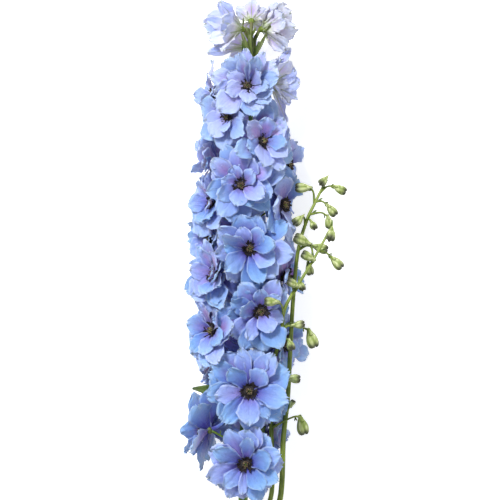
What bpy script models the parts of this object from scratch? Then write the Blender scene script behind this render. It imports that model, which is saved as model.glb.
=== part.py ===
# Delphinium flower spike, cut and laid down on a surface.
# The stem lies along Y with its tip at +Y, Z is up and the surface is z = 0.
# Lengths are millimetres and angles are degrees, turned to metres and radians
# where a shape is made. A place on the plant is (x, height, z): x to the right
# of the cut end, height along the stem from the cut end, z above the surface.

import math
import random

import bpy
import bmesh
from mathutils import Matrix, Vector
from mathutils.bvhtree import BVHTree

MM = 0.001
CLEARANCE = 0.3

# Main stem
STEM_TOP = 475.0
STEM_LEAN = 0.0204
AXIS_HEIGHT = 38.0
CUT_END_SAG = 14.0
SAG_FROM = 130.0
STEM_RADIUS = 4.1
STEM_TIP_RADIUS = 1.5
STEM_POINTS = 13

# Blooms; sizes of core, spur and eye hold for a bloom whose petals are FULL_REACH long
EYE_DISTANCE = 32.0
FULL_REACH = 32.0
CORE_DEPTH = 5.0
CORE_FRONT_RADIUS = 3.6
CORE_BACK_RADIUS = 2.3
PEDICEL_RADIUS = 0.95
PEDICEL_DROP = 17.0
PEDICEL_GAP = 0.7
HEAD_PEDICEL_GAP = 1.2
SPUR_LENGTH = 14.0
SPUR_RADIUS = 1.7
EYE_LOBES = 5
EYE_LOBE_DEPTH = 0.13
EYE_BACK_RADIUS = 5.2
EYE_BACK_HEIGHT = 3.4
EYE_FRONT_RADIUS = 5.4
EYE_FRONT_HEIGHT = 6.0
EYE_FRONT_WAVE = 0.8
EYE_MIDDLE_HEIGHT = 4.8

# Petals
BLADE_THICKNESS = 1.0
TEST_MARGIN = 0.45
OWN_MARGIN = 0.1
PINWHEEL = 13.0
OUTER_ROOT = 1.2, -2.6
INNER_ROOT = 1.0, -1.0
OUTER_OPENING = 76.0
INNER_OPENING = 62.0
INNER_REACH = 0.78
INNER_TURN = 36.0
OUTER_WIDTH = 0.42
INNER_WIDTH = 0.43
CURL = 16.0
CUP = 0.10
WAVE = 1.1
DEEPEST_PRESS = 3.0
PRESS_STEP = 0.13
SETTLE = 1.3
NARROWEST_OPENING = 12.0

# What a petal does when its neighbour is in the way, mildest first:
# change of opening, turn round the bloom, share of its length
MILD_FOLDS = [
    (0, 0, 1.0), (-7, 0, 1.0), (7, 0, 1.0), (-14, 0, 1.0), (14, 0, 1.0),
    (0, 9, 1.0), (0, -9, 1.0), (-21, 0, 1.0), (21, 0, 1.0), (-12, 9, 1.0),
    (-12, -9, 1.0), (-28, 0, 0.95), (28, 0, 0.95), (0, 0, 0.88),
    (-15, 0, 0.88), (15, 0, 0.88), (-35, 0, 0.9), (35, 0, 0.9),
    (-25, 10, 0.9), (-25, -10, 0.9),
]
STRONG_FOLDS = [
    (0, 0, 0.75), (-20, 0, 0.75), (20, 0, 0.75), (-42, 0, 0.85), (45, 0, 0.85),
    (-30, 12, 0.75), (-30, -12, 0.75), (0, 0, 0.62), (-25, 0, 0.62),
    (25, 0, 0.62), (-45, 0, 0.62), (50, 0, 0.62), (0, 0, 0.48),
    (-30, 0, 0.48), (30, 0, 0.48), (0, 0, 0.36), (-30, 0, 0.36),
]

# How far the petals reach to the left and right of the cut end, as height,
# left and right; a petal folds or shortens to stay inside
OUTLINE = [
    (100, -12, 18), (118, -30, 29), (130, -44, 30), (150, -50, 33), (163, -48, 39),
    (184, -45, 38), (192, -38, 38), (212, -38, 34), (220, -46, 54), (240, -49, 52),
    (250, -38, 46), (266, -40, 38), (274, -44, 40), (282, -50, 42), (292, -40, 48),
    (304, -38, 50), (316, -48, 46), (334, -47, 44), (342, -42, 48), (360, -47, 44),
    (374, -38, 45), (394, -43, 44), (404, -37, 40), (422, -35, 38), (440, -38, 41),
    (452, -34, 44), (470, -28, 45), (478, -34, 46), (530, -34, 46),
]
OUTLINE_MARGIN = 1.5
SPUR_TURNS = [0, 25, -25, 50, -50, 80, -80, 115, -115, 150, -150, 180]

# Blooms that face the viewer, petal by petal: direction round the eye,
# length and half width, first the outer layer and then the inner one
FRONT_1 = (
    [(18, 30, 10), (72, 31, 9), (117, 31, 9), (201, 33, 11), (244, 31, 9),
     (290, 33, 10), (332, 30, 9)],
    [(152, 30, 9), (84, 24, 7), (304, 26, 9), (262, 25, 5), (226, 26, 8)],
)
FRONT_2 = (
    [(102, 35, 8), (56, 35, 11), (350, 35, 11), (318, 35, 9), (276, 36, 11),
     (184, 34, 11), (143, 36, 10)],
    [(130, 26, 9), (188, 28, 9), (230, 33, 9), (341, 21, 8), (306, 26, 7)],
)
FRONT_3 = (
    [(299, 34, 12), (246, 34, 9), (221, 30, 10), (163, 25, 9), (126, 28, 10),
     (62, 29, 9), (8, 24, 9)],
    [(240, 27, 7), (92, 20, 7), (45, 22, 7), (340, 20, 7)],
)
FRONT_4 = (
    [(352, 35, 11), (314, 31, 10), (272, 36, 10), (238, 31, 10), (188, 28, 10),
     (146, 31, 9), (74, 27, 10)],
    [(220, 27, 10), (287, 30, 9), (14, 23, 7), (115, 20, 8)],
)
FRONT_5 = (
    [(268, 33, 10), (234, 31, 11), (190, 29, 11), (136, 32, 10), (92, 31, 10),
     (34, 31, 9), (320, 30, 9)],
    [(206, 23, 9), (345, 24, 9), (300, 20, 7), (112, 18, 7)],
)
FRONT_6 = (
    [(86, 30, 9), (44, 27, 9), (4, 30, 10), (330, 33, 11), (292, 29, 9),
     (250, 29, 11), (202, 30, 10)],
    [(258, 22, 9), (312, 24, 9), (148, 26, 9), (30, 20, 8)],
)
FRONT_7 = (
    [(155, 30, 11), (214, 28, 10), (262, 27, 9), (326, 29, 10), (30, 28, 10),
     (92, 26, 9)],
    [(238, 21, 9), (186, 19, 8), (116, 18, 7), (0, 16, 6)],
)
FRONT_8 = (
    [(92, 30, 8), (62, 30, 7), (280, 27, 10), (222, 32, 12), (164, 30, 9),
     (130, 28, 9), (14, 26, 9), (322, 24, 8)],
    [(350, 20, 8), (196, 21, 8), (104, 20, 6)],
)
# Two blooms of the left side, whose lobes stand out of the spike
LEFT_3 = (
    [(204, 33, 11), (256, 33, 11), (308, 34, 11), (8, 32, 11), (74, 34, 11), (128, 32, 10)],
    [(232, 25, 9), (338, 25, 9), (44, 24, 9), (104, 25, 9)],
)
LEFT_4 = (
    [(196, 33, 10), (250, 34, 12), (302, 32, 11), (12, 32, 11), (80, 33, 11), (136, 31, 10)],
    [(224, 25, 9), (332, 25, 9), (44, 24, 9), (110, 25, 9)],
)

# name, height on the stem, side of the stem it stands on (0 up, 90 right),
# side it faces, lean towards the tip, petal length, degrees by which it is less
# open than a flat bloom, petals of the two layers
BLOOMS = [
    ("bloom_front_1", 130.9, 3, 2, -6, 32, 0, FRONT_1),
    ("bloom_front_2", 192.8, 6, 3, -2, 35, 0, FRONT_2),
    ("bloom_front_3", 260.3, 21, 8, -8, 32, 6, FRONT_3),
    ("bloom_front_4", 313.8, 3, 0, -4, 32, 4, FRONT_4),
    ("bloom_front_5", 367.6, -12, -8, -6, 31, 10, FRONT_5),
    ("bloom_front_6", 404.8, 20, 26, 12, 30, 12, FRONT_6),
    ("bloom_front_8", 452.2, -5, -8, 4, 30, 12, FRONT_8),
    ("bloom_front_7", 425.6, -36, -44, 0, 28, 14, FRONT_7),
    ("bloom_right_5", 350.8, 64, 52, 4, 32, 8, (5, 5)),
    ("bloom_left_4", 291.4, -60, -50, 6, 34, 8, LEFT_4),
    ("bloom_left_3", 243.2, -62, -52, 6, 34, 8, LEFT_3),
    ("bloom_left_1", 157.8, -80, -128, 12, 35, 18, (6, 4)),
    ("bloom_right_4", 289.0, 88, 62, 2, 33, 8, (5, 5)),
    ("bloom_right_3", 231.8, 96, 58, -6, 33, 0, (5, 4)),
    ("bloom_left_2", 212.0, -118, -112, 4, 28, 6, (5, 3)),
    ("bloom_left_6", 352.6, -78, -56, 8, 30, 12, (5, 4)),
    ("bloom_left_5", 322.7, -94, -72, 0, 31, 12, (5, 4)),
    ("bloom_right_6", 385.8, 90, 70, 0, 31, 10, (5, 3)),
    ("bloom_left_7", 389.9, -92, -112, 10, 31, 16, (5, 3)),
    ("bloom_left_8", 446.8, -92, -70, 8, 28, 14, (5, 3)),
    ("bloom_right_1", 152.0, 138, 122, 0, 29, 0, (5, 3)),
    ("bloom_right_2", 192.0, 116, 94, 0, 30, 0, (5, 3)),
    ("bloom_back_1", 175.0, -160, -164, 0, 30, 0, (5, 3)),
    ("bloom_back_2", 256.0, 166, 170, 0, 30, 0, (5, 3)),
    ("bloom_back_3", 325.0, -166, -170, 0, 30, 0, (5, 3)),
    ("bloom_back_4", 412.0, 168, 172, 0, 29, 0, (5, 3)),
]

# Half-open heads round the tip: name, place of the base, direction, length
HEADS = [
    ("head_left", (-3.5, 503.0, 46.0), (-0.90, 0.12, 0.30), 28),
    ("head_right", (19.0, 503.0, 47.0), (0.88, 0.22, 0.26), 29),
    ("head_top", (7.4, 510.0, 49.0), (0.03, 0.48, -0.88), 21),
    ("head_low", (25.5, 457.0, 42.0), (0.74, 0.10, 0.62), 27),
    ("head_back", (4.0, 489.0, 27.0), (-0.30, 0.05, -0.95), 24),
]

# Side shoots: places along each and the radii of its ends
SHOOT_A = [
    (5.2, 64, 34.7), (8.6, 66, 35.6), (16, 81, 37), (25, 104, 36), (24.6, 160, 32), (25, 190, 34),
    (27, 217, 50), (32.5, 240, 64), (35, 260, 68), (42, 275, 68),
    (54, 294, 65), (64, 311, 62), (74, 327, 60),
]
SHOOT_A_RADII = 2.25, 1.0
SHOOT_B = [
    (5.4, 48, 32.4), (9.2, 50, 33.2), (19, 68, 36), (31, 98, 39), (34, 150, 39), (38.5, 186, 40),
    (41, 230, 43), (43.5, 273, 47), (47.5, 312, 48), (55, 338, 47),
    (61.5, 352, 46), (69, 367, 46),
]
SHOOT_B_RADII = 2.65, 1.1

# Buds: height where the stalk leaves its shoot, place of the bud's middle,
# direction it points on the page (0 right, 90 to the tip), lift, length, and
# how far the stalk arches up
BUDS_A = [
    (326, (77, 333, 63), 60, 50, 9, 1), (310, (65, 318, 70), 120, 40, 9, 1),
    (312, (80, 302, 58), -45, 5, 11, 1), (274, (43, 284, 76), 150, 20, 9, 1),
    (256, (24.5, 269, 84), 178, 5, 10, 1), (244, (47, 249, 70), 10, 20, 9, 1),
    (248, (58.8, 237, 60), -70, 0, 13, 1), (236, (40.5, 232, 73), -70, 50, 9, 1),
    (190, (43, 202, 49), 0, 10, 10, 1), (158, (51, 162, 50), -75, 5, 13, 12),
]
BUDS_B = [
    (366, (68.5, 376, 48), 100, 20, 8, 1), (362, (83, 365, 48), -25, 5, 10, 1),
    (352, (52, 366, 50), 178, 10, 11, 1), (354, (76, 347, 50), -50, 10, 10, 1),
    (343, (74, 337, 42), -80, -5, 9, 1), (333, (47.5, 338, 53), 185, 10, 9, 1),
    (338, (60, 334, 56), -60, 45, 8, 1), (312, (42, 322, 58), 150, 15, 10, 1),
    (303, (58, 309, 50), -10, 10, 9, 1), (298, (60, 293, 45), -60, 0, 9, 1),
    (170, (42, 180, 45), 60, 15, 6, 1),
]
BUD_SIZE = 1.2
BUD_WIDTH_SHARE = 0.60
BUD_STALK_RADIUS = 0.75

# Leaf and bracts: height on the stem, place of the middle of the blade,
# direction on the page, lift, length, half width
LEAVES = [
    (176, (-31.0, 192.0, 32.0), 178, 0, 26, 5.5),
    (141, (15.5, 152.0, 27.0), 62, -10, 18, 3.6),
    (214, (15.0, 226.0, 45.0), 30, 10, 20, 3.4),
    (467, (1.0, 485.0, 46.5), 104, 14, 15, 2.0),
    (469, (12.0, 485.0, 47.5), 74, 14, 15, 2.0),
]

PETAL_COLOUR = (0.33, 0.42, 0.86)
HEAD_COLOUR = (0.66, 0.68, 0.88)
EYE_COLOUR = (0.035, 0.014, 0.018)
STEM_COLOUR = (0.13, 0.26, 0.035)
SHOOT_COLOUR = (0.20, 0.33, 0.06)


def clear_scene():
    for obj in list(bpy.data.objects):
        bpy.data.objects.remove(obj, do_unlink=True)


def make_collection(name):
    collection = bpy.data.collections.new(name)
    bpy.context.scene.collection.children.link(collection)
    return collection


def make_material(name, colour, roughness):
    material = bpy.data.materials.new(name)
    material.use_nodes = True
    shader = material.node_tree.nodes["Principled BSDF"]
    shader.inputs["Base Color"].default_value = (*colour, 1.0)
    shader.inputs["Roughness"].default_value = roughness
    shader.inputs["Metallic"].default_value = 0.0
    return material


def page_direction(angle, lift):
    """Direction at an angle on the page, seen from above, raised by a lift."""
    turn, rise = math.radians(angle), math.radians(lift)
    return Vector((math.cos(turn) * math.cos(rise), math.sin(turn) * math.cos(rise), math.sin(rise)))


def bezier(start, first, second, end, count):
    points = []
    for i in range(count):
        t = i / (count - 1)
        s = 1 - t
        points.append(start * s**3 + first * (3 * s * s * t) + second * (3 * s * t * t) + end * t**3)
    return points


def stem_place(height):
    sag = max(0.0, (SAG_FROM - height) / SAG_FROM)
    x = STEM_LEAN * max(0.0, height - 100.0)
    return Vector((x, height, AXIS_HEIGHT - CUT_END_SAG * sag * sag))


def stem_radius(height):
    share = max(0.0, (height - 100.0) / (STEM_TOP - 100.0))
    return STEM_RADIUS - (STEM_RADIUS - STEM_TIP_RADIUS) * share**1.3


def tube(points, radii, bevel_resolution=0):
    """Closed tube along the points, as a bmesh in millimetres."""
    curve = bpy.data.curves.new("tube", "CURVE")
    curve.dimensions = "3D"
    curve.bevel_depth = 1.0
    curve.bevel_resolution = bevel_resolution
    curve.use_fill_caps = True
    spline = curve.splines.new("POLY")
    spline.points.add(len(points) - 1)
    for point, place, radius in zip(spline.points, points, radii):
        point.co = (*place, 1.0)
        point.radius = radius
    guide = bpy.data.objects.new("tube", curve)
    bpy.context.scene.collection.objects.link(guide)
    graph = bpy.context.evaluated_depsgraph_get()
    mesh = bpy.data.meshes.new_from_object(guide.evaluated_get(graph))
    bpy.data.objects.remove(guide, do_unlink=True)
    bpy.data.curves.remove(curve)
    shape = bmesh.new()
    shape.from_mesh(mesh)
    bpy.data.meshes.remove(mesh)
    bmesh.ops.remove_doubles(shape, verts=shape.verts, dist=0.01)
    bmesh.ops.recalc_face_normals(shape, faces=shape.faces)
    return shape


def tapered(count, first, last):
    return [first + (last - first) * i / (count - 1) for i in range(count)]


def along(points, height):
    """Place on a list of places where it passes a height."""
    for a, b in zip(points, points[1:]):
        if a[1] <= height <= b[1]:
            return Vector(a).lerp(Vector(b), (height - a[1]) / (b[1] - a[1]))
    return Vector(points[-1])


def lens_mesh(rows):
    """Flat blade with a thick middle: x is across, y along, z the side."""
    shape = bmesh.new()
    bmesh.ops.create_grid(shape, x_segments=2, y_segments=rows, size=1.0)
    for vert in shape.verts:
        vert.co.z = 1.0 if abs(vert.co.x) < 0.5 and abs(vert.co.y) < 0.99 else 0.0
    root = [vert for vert in shape.verts if vert.co.y < -0.99]
    bmesh.ops.pointmerge(shape, verts=root, merge_co=(0.0, -1.0, 0.0))
    # Each quad is split from a raised middle vertex, so that no triangle lies on the rim alone
    for face in [face for face in shape.faces if len(face.verts) == 4]:
        middle = max(face.verts, key=lambda vert: (vert.co.z, -abs(vert.co.y)))
        corner = max(face.verts, key=lambda vert: (vert.co - middle.co).xy.length)
        bmesh.utils.face_split(face, middle, corner)
    copied = bmesh.ops.duplicate(shape, geom=shape.verts[:] + shape.edges[:] + shape.faces[:])
    for item in copied["geom"]:
        if isinstance(item, bmesh.types.BMVert):
            item.co.z = -item.co.z
    bmesh.ops.reverse_faces(
        shape, faces=[item for item in copied["geom"] if isinstance(item, bmesh.types.BMFace)]
    )
    bmesh.ops.remove_doubles(shape, verts=shape.verts, dist=0.001)
    mesh = bpy.data.meshes.new("lens")
    shape.to_mesh(mesh)
    shape.free()
    return mesh


def petal_outline(t):
    """Half width along the petal, as a share of its greatest half width."""
    claw = min(1.0, 0.10 + 1.40 * t)
    tip = math.sqrt(max(0.0, 1.0 - max(0.0, (t - 0.58) / 0.45) ** 2))
    return claw * max(tip, 0.30)


def petal_place(petal, across, t, side, margin):
    """Point of a petal in its bloom, whose eye looks along +Z."""
    length = petal["length"] + margin
    opening, curl = math.radians(petal["opening"]), math.radians(petal["curl"])
    angle = opening + curl * t
    root_radius, root_height = petal["root"]
    radius = root_radius + length * (math.cos(opening) - math.cos(angle)) / curl
    height = root_height + length * (math.sin(angle) - math.sin(opening)) / curl
    turn = math.radians(petal["turn"])
    outwards = Vector((math.cos(turn), math.sin(turn), 0.0))
    sideways = Vector((math.sin(turn), -math.cos(turn), 0.0))
    facing = Vector((0.0, 0.0, math.sin(angle))) - outwards * math.cos(angle)
    twist = math.radians(PINWHEEL)
    tilted_side = sideways * math.cos(twist) + facing * math.sin(twist)
    tilted_face = facing * math.cos(twist) - sideways * math.sin(twist)
    half_width = (petal["half_width"] + margin) * petal_outline(t)
    ruffle = WAVE * t * math.sin(petal["phase"] + 7.0 * t + 1.3 * across) * abs(across)
    raised = CUP * petal["half_width"] * across * across * petal_outline(t) + ruffle
    raised += side * (BLADE_THICKNESS / 2 + 0.8 * margin)
    place = outwards * radius + Vector((0.0, 0.0, height))
    return place + tilted_side * (half_width * across) + tilted_face * raised


def petal_shape(petal, lens, bloom_matrix, margin=0.0):
    """Petal as a bmesh in the plant's millimetres, before the surface presses it."""
    shape = bmesh.new()
    shape.from_mesh(lens)
    for vert in shape.verts:
        along_share = (vert.co.y + 1.0) / 2.0
        t = 1.0 - (1.0 - along_share) ** 1.4
        notch = 0.05 * (t > 0.99) * (abs(vert.co.x) < 0.5)
        vert.co = bloom_matrix @ petal_place(petal, vert.co.x, t - notch, vert.co.z, margin)
    return shape


def pressed(shape, lens, level):
    """Lays what would reach below the surface flat on it, one face above the other."""
    settle = SETTLE if level == 0.0 else 0.0
    pairs = {}
    for vert, flat in zip(shape.verts, lens.vertices):
        pairs.setdefault((round(flat.co.x, 2), round(flat.co.y, 2)), []).append(vert)
    for pair in pairs.values():
        pair.sort(key=lambda vert: vert.co.z)
        if pair[0].co.z < level + settle:
            pair[0].co.z = level
        pair[-1].co.z = max(pair[-1].co.z, level + BLADE_THICKNESS * (len(pair) - 1))
    return shape


def bloom_frame(height, stands, faces, lean):
    """Matrix from a bloom's own frame to the plant: eye along +Z, tip up +Y."""
    stand, face, rise = math.radians(stands), math.radians(faces), math.radians(lean)
    centre = stem_place(height) + Vector((math.sin(stand), 0.0, math.cos(stand))) * EYE_DISTANCE
    facing = Vector((math.sin(face) * math.cos(rise), math.sin(rise), math.cos(face) * math.cos(rise)))
    return frame_at(centre, facing, Vector((0.0, 1.0, 0.0)))


def frame_at(centre, facing, upwards):
    facing = facing.normalized()
    right = upwards.cross(facing).normalized()
    upper = facing.cross(right)
    matrix = Matrix((right, upper, facing)).transposed().to_4x4()
    matrix.translation = centre
    return matrix


def core_shape(matrix, size):
    """Receptacle behind the petals, six-sided and wider in front."""
    shape = bmesh.new()
    bmesh.ops.create_cone(
        shape,
        cap_ends=True,
        segments=6,
        radius1=CORE_BACK_RADIUS * size,
        radius2=CORE_FRONT_RADIUS * size,
        depth=CORE_DEPTH,
    )
    bmesh.ops.translate(shape, vec=(0.0, 0.0, -CORE_DEPTH / 2), verts=shape.verts)
    bmesh.ops.transform(shape, matrix=matrix, verts=shape.verts)
    return shape


def spur_shape(matrix, turn, margin=0.0):
    """Spur behind the upper sepal, bent up at its end."""
    around = math.radians(90 + turn)
    outwards = Vector((math.cos(around), math.sin(around), 0.0))
    back = Vector((0.0, 0.0, -1.0))
    root = back * (CORE_DEPTH * 0.55) + outwards * 0.6
    middle = root + (outwards * 0.62 + back * 0.78) * SPUR_LENGTH * 0.5
    end = middle + (outwards * 0.80 + back * 0.60) * SPUR_LENGTH * 0.5
    radii = [SPUR_RADIUS + margin, SPUR_RADIUS * 0.8 + margin, SPUR_RADIUS * 0.4 + margin]
    return tube([matrix @ place for place in (root, middle, end)], radii)


def eye_shape(matrix, size):
    """Dark lobed knob of small petals and stamens, just clear of the core."""
    shape = bmesh.new()
    bmesh.ops.create_uvsphere(shape, u_segments=10, v_segments=3, radius=1.0)
    for vert in shape.verts:
        level = vert.co.z
        around = math.atan2(vert.co.y, vert.co.x)
        swell = math.cos(EYE_LOBES * around)
        lobe = 1.0 - EYE_LOBE_DEPTH * swell
        if level < -0.9:
            vert.co = Vector((0.0, 0.0, CLEARANCE))
            continue
        if level < 0.0:
            radius, height = EYE_BACK_RADIUS * lobe, EYE_BACK_HEIGHT
        elif level < 0.9:
            radius, height = EYE_FRONT_RADIUS * lobe, EYE_FRONT_HEIGHT - EYE_FRONT_WAVE * swell
        else:
            radius, height = 0.0, EYE_MIDDLE_HEIGHT
        vert.co = Vector((radius * math.cos(around), radius * math.sin(around), height)) * size
    bmesh.ops.transform(shape, matrix=matrix, verts=shape.verts)
    return shape


def leaf_shape(lens, height, middle, angle, lift, length, half_width):
    """Pointed blade whose narrow root reaches into the stem."""
    middle = Vector(middle)
    forward = page_direction(angle, lift)
    base = middle - forward * length / 2
    tip = middle + forward * length / 2
    start = stem_place(height)
    points = bezier(start, start.lerp(base, 0.6), base, tip, 9)
    shape = bmesh.new()
    shape.from_mesh(lens)
    for vert in shape.verts:
        share = (vert.co.y + 1.0) / 2.0
        place = points[0].lerp(points[-1], share)
        index = min(int(share * 8), 7)
        place = points[index].lerp(points[index + 1], share * 8 - index)
        ahead = (points[index + 1] - points[index]).normalized()
        across = ahead.cross(Vector((0.0, 0.0, 1.0))).normalized()
        above = across.cross(ahead)
        width = 0.9 + (half_width - 0.9) * math.sin(math.pi * min(1.0, max(0.0, share - 0.3) / 0.72))
        width *= 0.2 if share > 0.99 else 1.0
        lifted = vert.co.z * BLADE_THICKNESS / 2 + abs(vert.co.x) * 0.12 * width
        vert.co = place + across * (vert.co.x * width) + above * lifted
    bmesh.ops.recalc_face_normals(shape, faces=shape.faces)
    return shape


def bud_shape(middle, direction, length):
    """Closed bud, fatter towards its base."""
    shape = bmesh.new()
    bmesh.ops.create_uvsphere(shape, u_segments=6, v_segments=4, radius=1.0)
    half_width = length * BUD_WIDTH_SHARE / 2
    for vert in shape.verts:
        fat = 1.0 - 0.22 * vert.co.z
        vert.co = Vector((vert.co.x * half_width * fat, vert.co.y * half_width * fat, vert.co.z * length / 2))
    matrix = frame_at(Vector(middle), direction, Vector((0.13, 0.21, 0.97)))
    bmesh.ops.transform(shape, matrix=matrix, verts=shape.verts)
    return shape


def tree_of(shape):
    return BVHTree.FromBMesh(shape)


def middle_and_reach(shape):
    places = [vert.co for vert in shape.verts]
    middle = sum(places, Vector()) / len(places)
    return middle, max((place - middle).length for place in places)


class Surroundings:
    """What is already placed, so that a new blade can be bent clear of it."""

    def __init__(self):
        self.items = []

    def add(self, owner, shape, far_half=None):
        """Adds a shape, and for a petal the half of it that its own bloom must clear."""
        self.items.append((owner, tree_of(shape), far_half, *middle_and_reach(shape)))

    def is_clear(self, owner, shape, far_half=None):
        tree = tree_of(shape)
        middle, reach = middle_and_reach(shape)
        for other, other_tree, other_half, other_middle, other_reach in self.items:
            if (middle - other_middle).length > reach + other_reach:
                continue
            if other != owner and tree.overlap(other_tree):
                return False
            if other == owner and far_half and other_half and far_half.overlap(other_half):
                return False
        return True


def far_half_tree(shape, lens):
    """The petal without its claw, where petals of one bloom don't cross."""
    places = [vert.co for vert in shape.verts]
    first = min(vert.co.y for vert in lens.vertices if vert.co.y > -0.99) - 0.01
    faces = [
        tuple(face.vertices) for face in lens.polygons
        if all(lens.vertices[index].co.y > first for index in face.vertices)
    ]
    return BVHTree.FromPolygons(places, faces)


def fused(name, shapes, material, collection):
    """One closed object from a node's shapes, which one union joins."""
    parts = bpy.data.collections.new("parts of " + name)
    objects = []
    for shape in shapes:
        mesh = bpy.data.meshes.new(name)
        bmesh.ops.triangulate(shape, faces=shape.faces)
        bmesh.ops.scale(shape, vec=(MM, MM, MM), verts=shape.verts)
        shape.to_mesh(mesh)
        shape.free()
        objects.append(bpy.data.objects.new(name, mesh))
    base = objects[0]
    base.name = name
    base.data.name = name
    base.data.materials.append(material)
    collection.objects.link(base)
    if len(objects) > 1:
        bpy.context.scene.collection.children.link(parts)
        for obj in objects[1:]:
            obj.data.materials.append(material)
            parts.objects.link(obj)
        union = base.modifiers.new("union", "BOOLEAN")
        union.operation = "UNION"
        union.operand_type = "COLLECTION"
        union.collection = parts
        union.solver = "EXACT"
        graph = bpy.context.evaluated_depsgraph_get()
        joined = bpy.data.meshes.new_from_object(base.evaluated_get(graph))
        base.modifiers.clear()
        old = base.data
        base.data = joined
        bpy.data.meshes.remove(old)
        joined.name = name
        for obj in objects[1:]:
            bpy.data.objects.remove(obj, do_unlink=True)
    bpy.data.collections.remove(parts)
    return base


def layer_petals(spec, reach, opening, root, width_share, rng, first_turn):
    """The petals of one layer, from a hand-set list or spread evenly."""
    petals = []
    if isinstance(spec, int):
        step = 360.0 / spec
        spec = [
            (
                first_turn + step * i + rng.uniform(-8, 8),
                reach * rng.uniform(0.9, 1.06),
                reach * width_share * rng.uniform(0.92, 1.06),
            )
            for i in range(spec)
        ]
    for turn, length, half_width in spec:
        petals.append(
            {
                "turn": turn,
                "length": length,
                "half_width": half_width,
                "opening": opening + rng.uniform(-5, 5),
                "curl": CURL + rng.uniform(-6, 10),
                "phase": rng.uniform(0, 2 * math.pi),
                "root": root,
            }
        )
    return petals


def bloom_petals(index, reach, closing, layers):
    rng = random.Random(100 + index)
    outer_count, inner_count = layers
    first = 90 + rng.uniform(-12, 12)
    outer_opening, inner_opening = OUTER_OPENING - closing, INNER_OPENING - closing
    outer = layer_petals(outer_count, reach, outer_opening, OUTER_ROOT, OUTER_WIDTH, rng, first)
    inner = layer_petals(
        inner_count, reach * INNER_REACH, inner_opening, INNER_ROOT, INNER_WIDTH, rng, first + INNER_TURN
    )
    return outer + inner


def folded_petal(petal, change, turn, share):
    folded = dict(petal)
    folded["opening"] = petal["opening"] + change
    folded["turn"] = petal["turn"] + turn
    folded["length"] = petal["length"] * share
    folded["half_width"] = petal["half_width"] * (0.5 + 0.5 * share)
    return folded


def is_inside_outline(shape):
    """Whether the shape stays within the width of the spike at each height."""
    for vert in shape.verts:
        x, height = vert.co.x, vert.co.y
        for (low, low_left, low_right), (high, high_left, high_right) in zip(OUTLINE, OUTLINE[1:]):
            if low <= height <= high:
                share = (height - low) / (high - low)
                left = low_left + (high_left - low_left) * share
                right = low_right + (high_right - low_right) * share
                if x < left - OUTLINE_MARGIN or x > right + OUTLINE_MARGIN:
                    return False
    return True


def fitted_petal(petal, lens, matrix, owner, surroundings, level=0.0):
    """The petal folded just far enough to clear its neighbours, or None."""
    tries = [
        (folds, own_petals_count, outline_counts)
        for outline_counts in (True, False)
        for folds in (MILD_FOLDS, STRONG_FOLDS)
        for own_petals_count in (True, False)
    ]
    for folds, own_petals_count, outline_counts in tries:
        for fold in folds:
            folded = folded_petal(petal, *fold)
            if folded["opening"] < NARROWEST_OPENING:
                continue
            test = petal_shape(folded, lens, matrix, TEST_MARGIN)
            too_low = min(vert.co.z for vert in test.verts) < -DEEPEST_PRESS
            if too_low or (outline_counts and not is_inside_outline(test)):
                test.free()
                continue
            far_half = None
            if own_petals_count:
                near = petal_shape(folded, lens, matrix, OWN_MARGIN)
                far_half = far_half_tree(near, lens)
                near.free()
            clear = surroundings.is_clear(owner, pressed(test, lens, 0.0), far_half)
            test.free()
            if clear:
                shape = pressed(petal_shape(folded, lens, matrix), lens, level)
                surroundings.add(owner, shape, far_half_tree(shape, lens))
                return shape
    return None


def make_bloom(index, row, lenses, surroundings, material, collection):
    name, height, stands, faces, lean, reach, closing, layers = row
    matrix = bloom_frame(height, stands, faces, lean)
    size = reach / FULL_REACH
    shapes = [core_shape(matrix, size)]
    for turn in SPUR_TURNS:
        test = spur_shape(matrix, turn, TEST_MARGIN)
        if surroundings.is_clear(name, test):
            shapes.append(spur_shape(matrix, turn))
            break
    dropped = 0
    level = 0.0
    for petal in bloom_petals(index, reach, closing, layers):
        lens = lenses["outer"] if petal["root"] == OUTER_ROOT else lenses["inner"]
        shape = fitted_petal(petal, lens, matrix, name, surroundings, level)
        if shape is None:
            dropped += 1
            continue
        shapes.append(shape)
        if min(vert.co.z for vert in shape.verts) <= level + MM:
            level += PRESS_STEP
    for shape in shapes[:2]:
        surroundings.add(name, shape)
    print(name, "petals", len(shapes) - 2, "dropped", dropped)
    return fused(name, shapes, material, collection)


def make_head(index, row, lens, surroundings, material, collection):
    name, base, direction, length = row
    matrix = frame_at(Vector(base), Vector(direction), Vector((0.0, 0.97, 0.23)))
    rng = random.Random(500 + index)
    shapes = [core_shape(matrix, 0.8)]
    for i in range(6):
        inner = i == 5
        petal = {
            "turn": 90 + 72 * i + rng.uniform(-8, 8),
            "length": length * rng.uniform(0.92, 1.05) * (0.8 if inner else 1.0),
            "half_width": length * 0.36,
            "opening": 30 + rng.uniform(-6, 8) - (14 if inner else 0),
            "curl": 14.0,
            "phase": rng.uniform(0, 2 * math.pi),
            "root": OUTER_ROOT,
        }
        shape = fitted_petal(petal, lens, matrix, name, surroundings)
        if shape is not None:
            shapes.append(shape)
    surroundings.add(name, shapes[0])
    return fused(name, shapes, material, collection)


def pedicel_points(matrix, root_height, count=3, gap=PEDICEL_GAP):
    """Stalk from inside the main stem to just behind a core."""
    end = matrix @ Vector((0.0, 0.0, -CORE_DEPTH - gap))
    behind = matrix @ Vector((0.0, 0.0, -CORE_DEPTH - 9.0))
    start = stem_place(root_height)
    outwards = Vector((end.x - start.x, 0.0, end.z - start.z)).normalized()
    return bezier(start, start + outwards * 9 + Vector((0, 4, 0)), behind, end, count)


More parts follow.
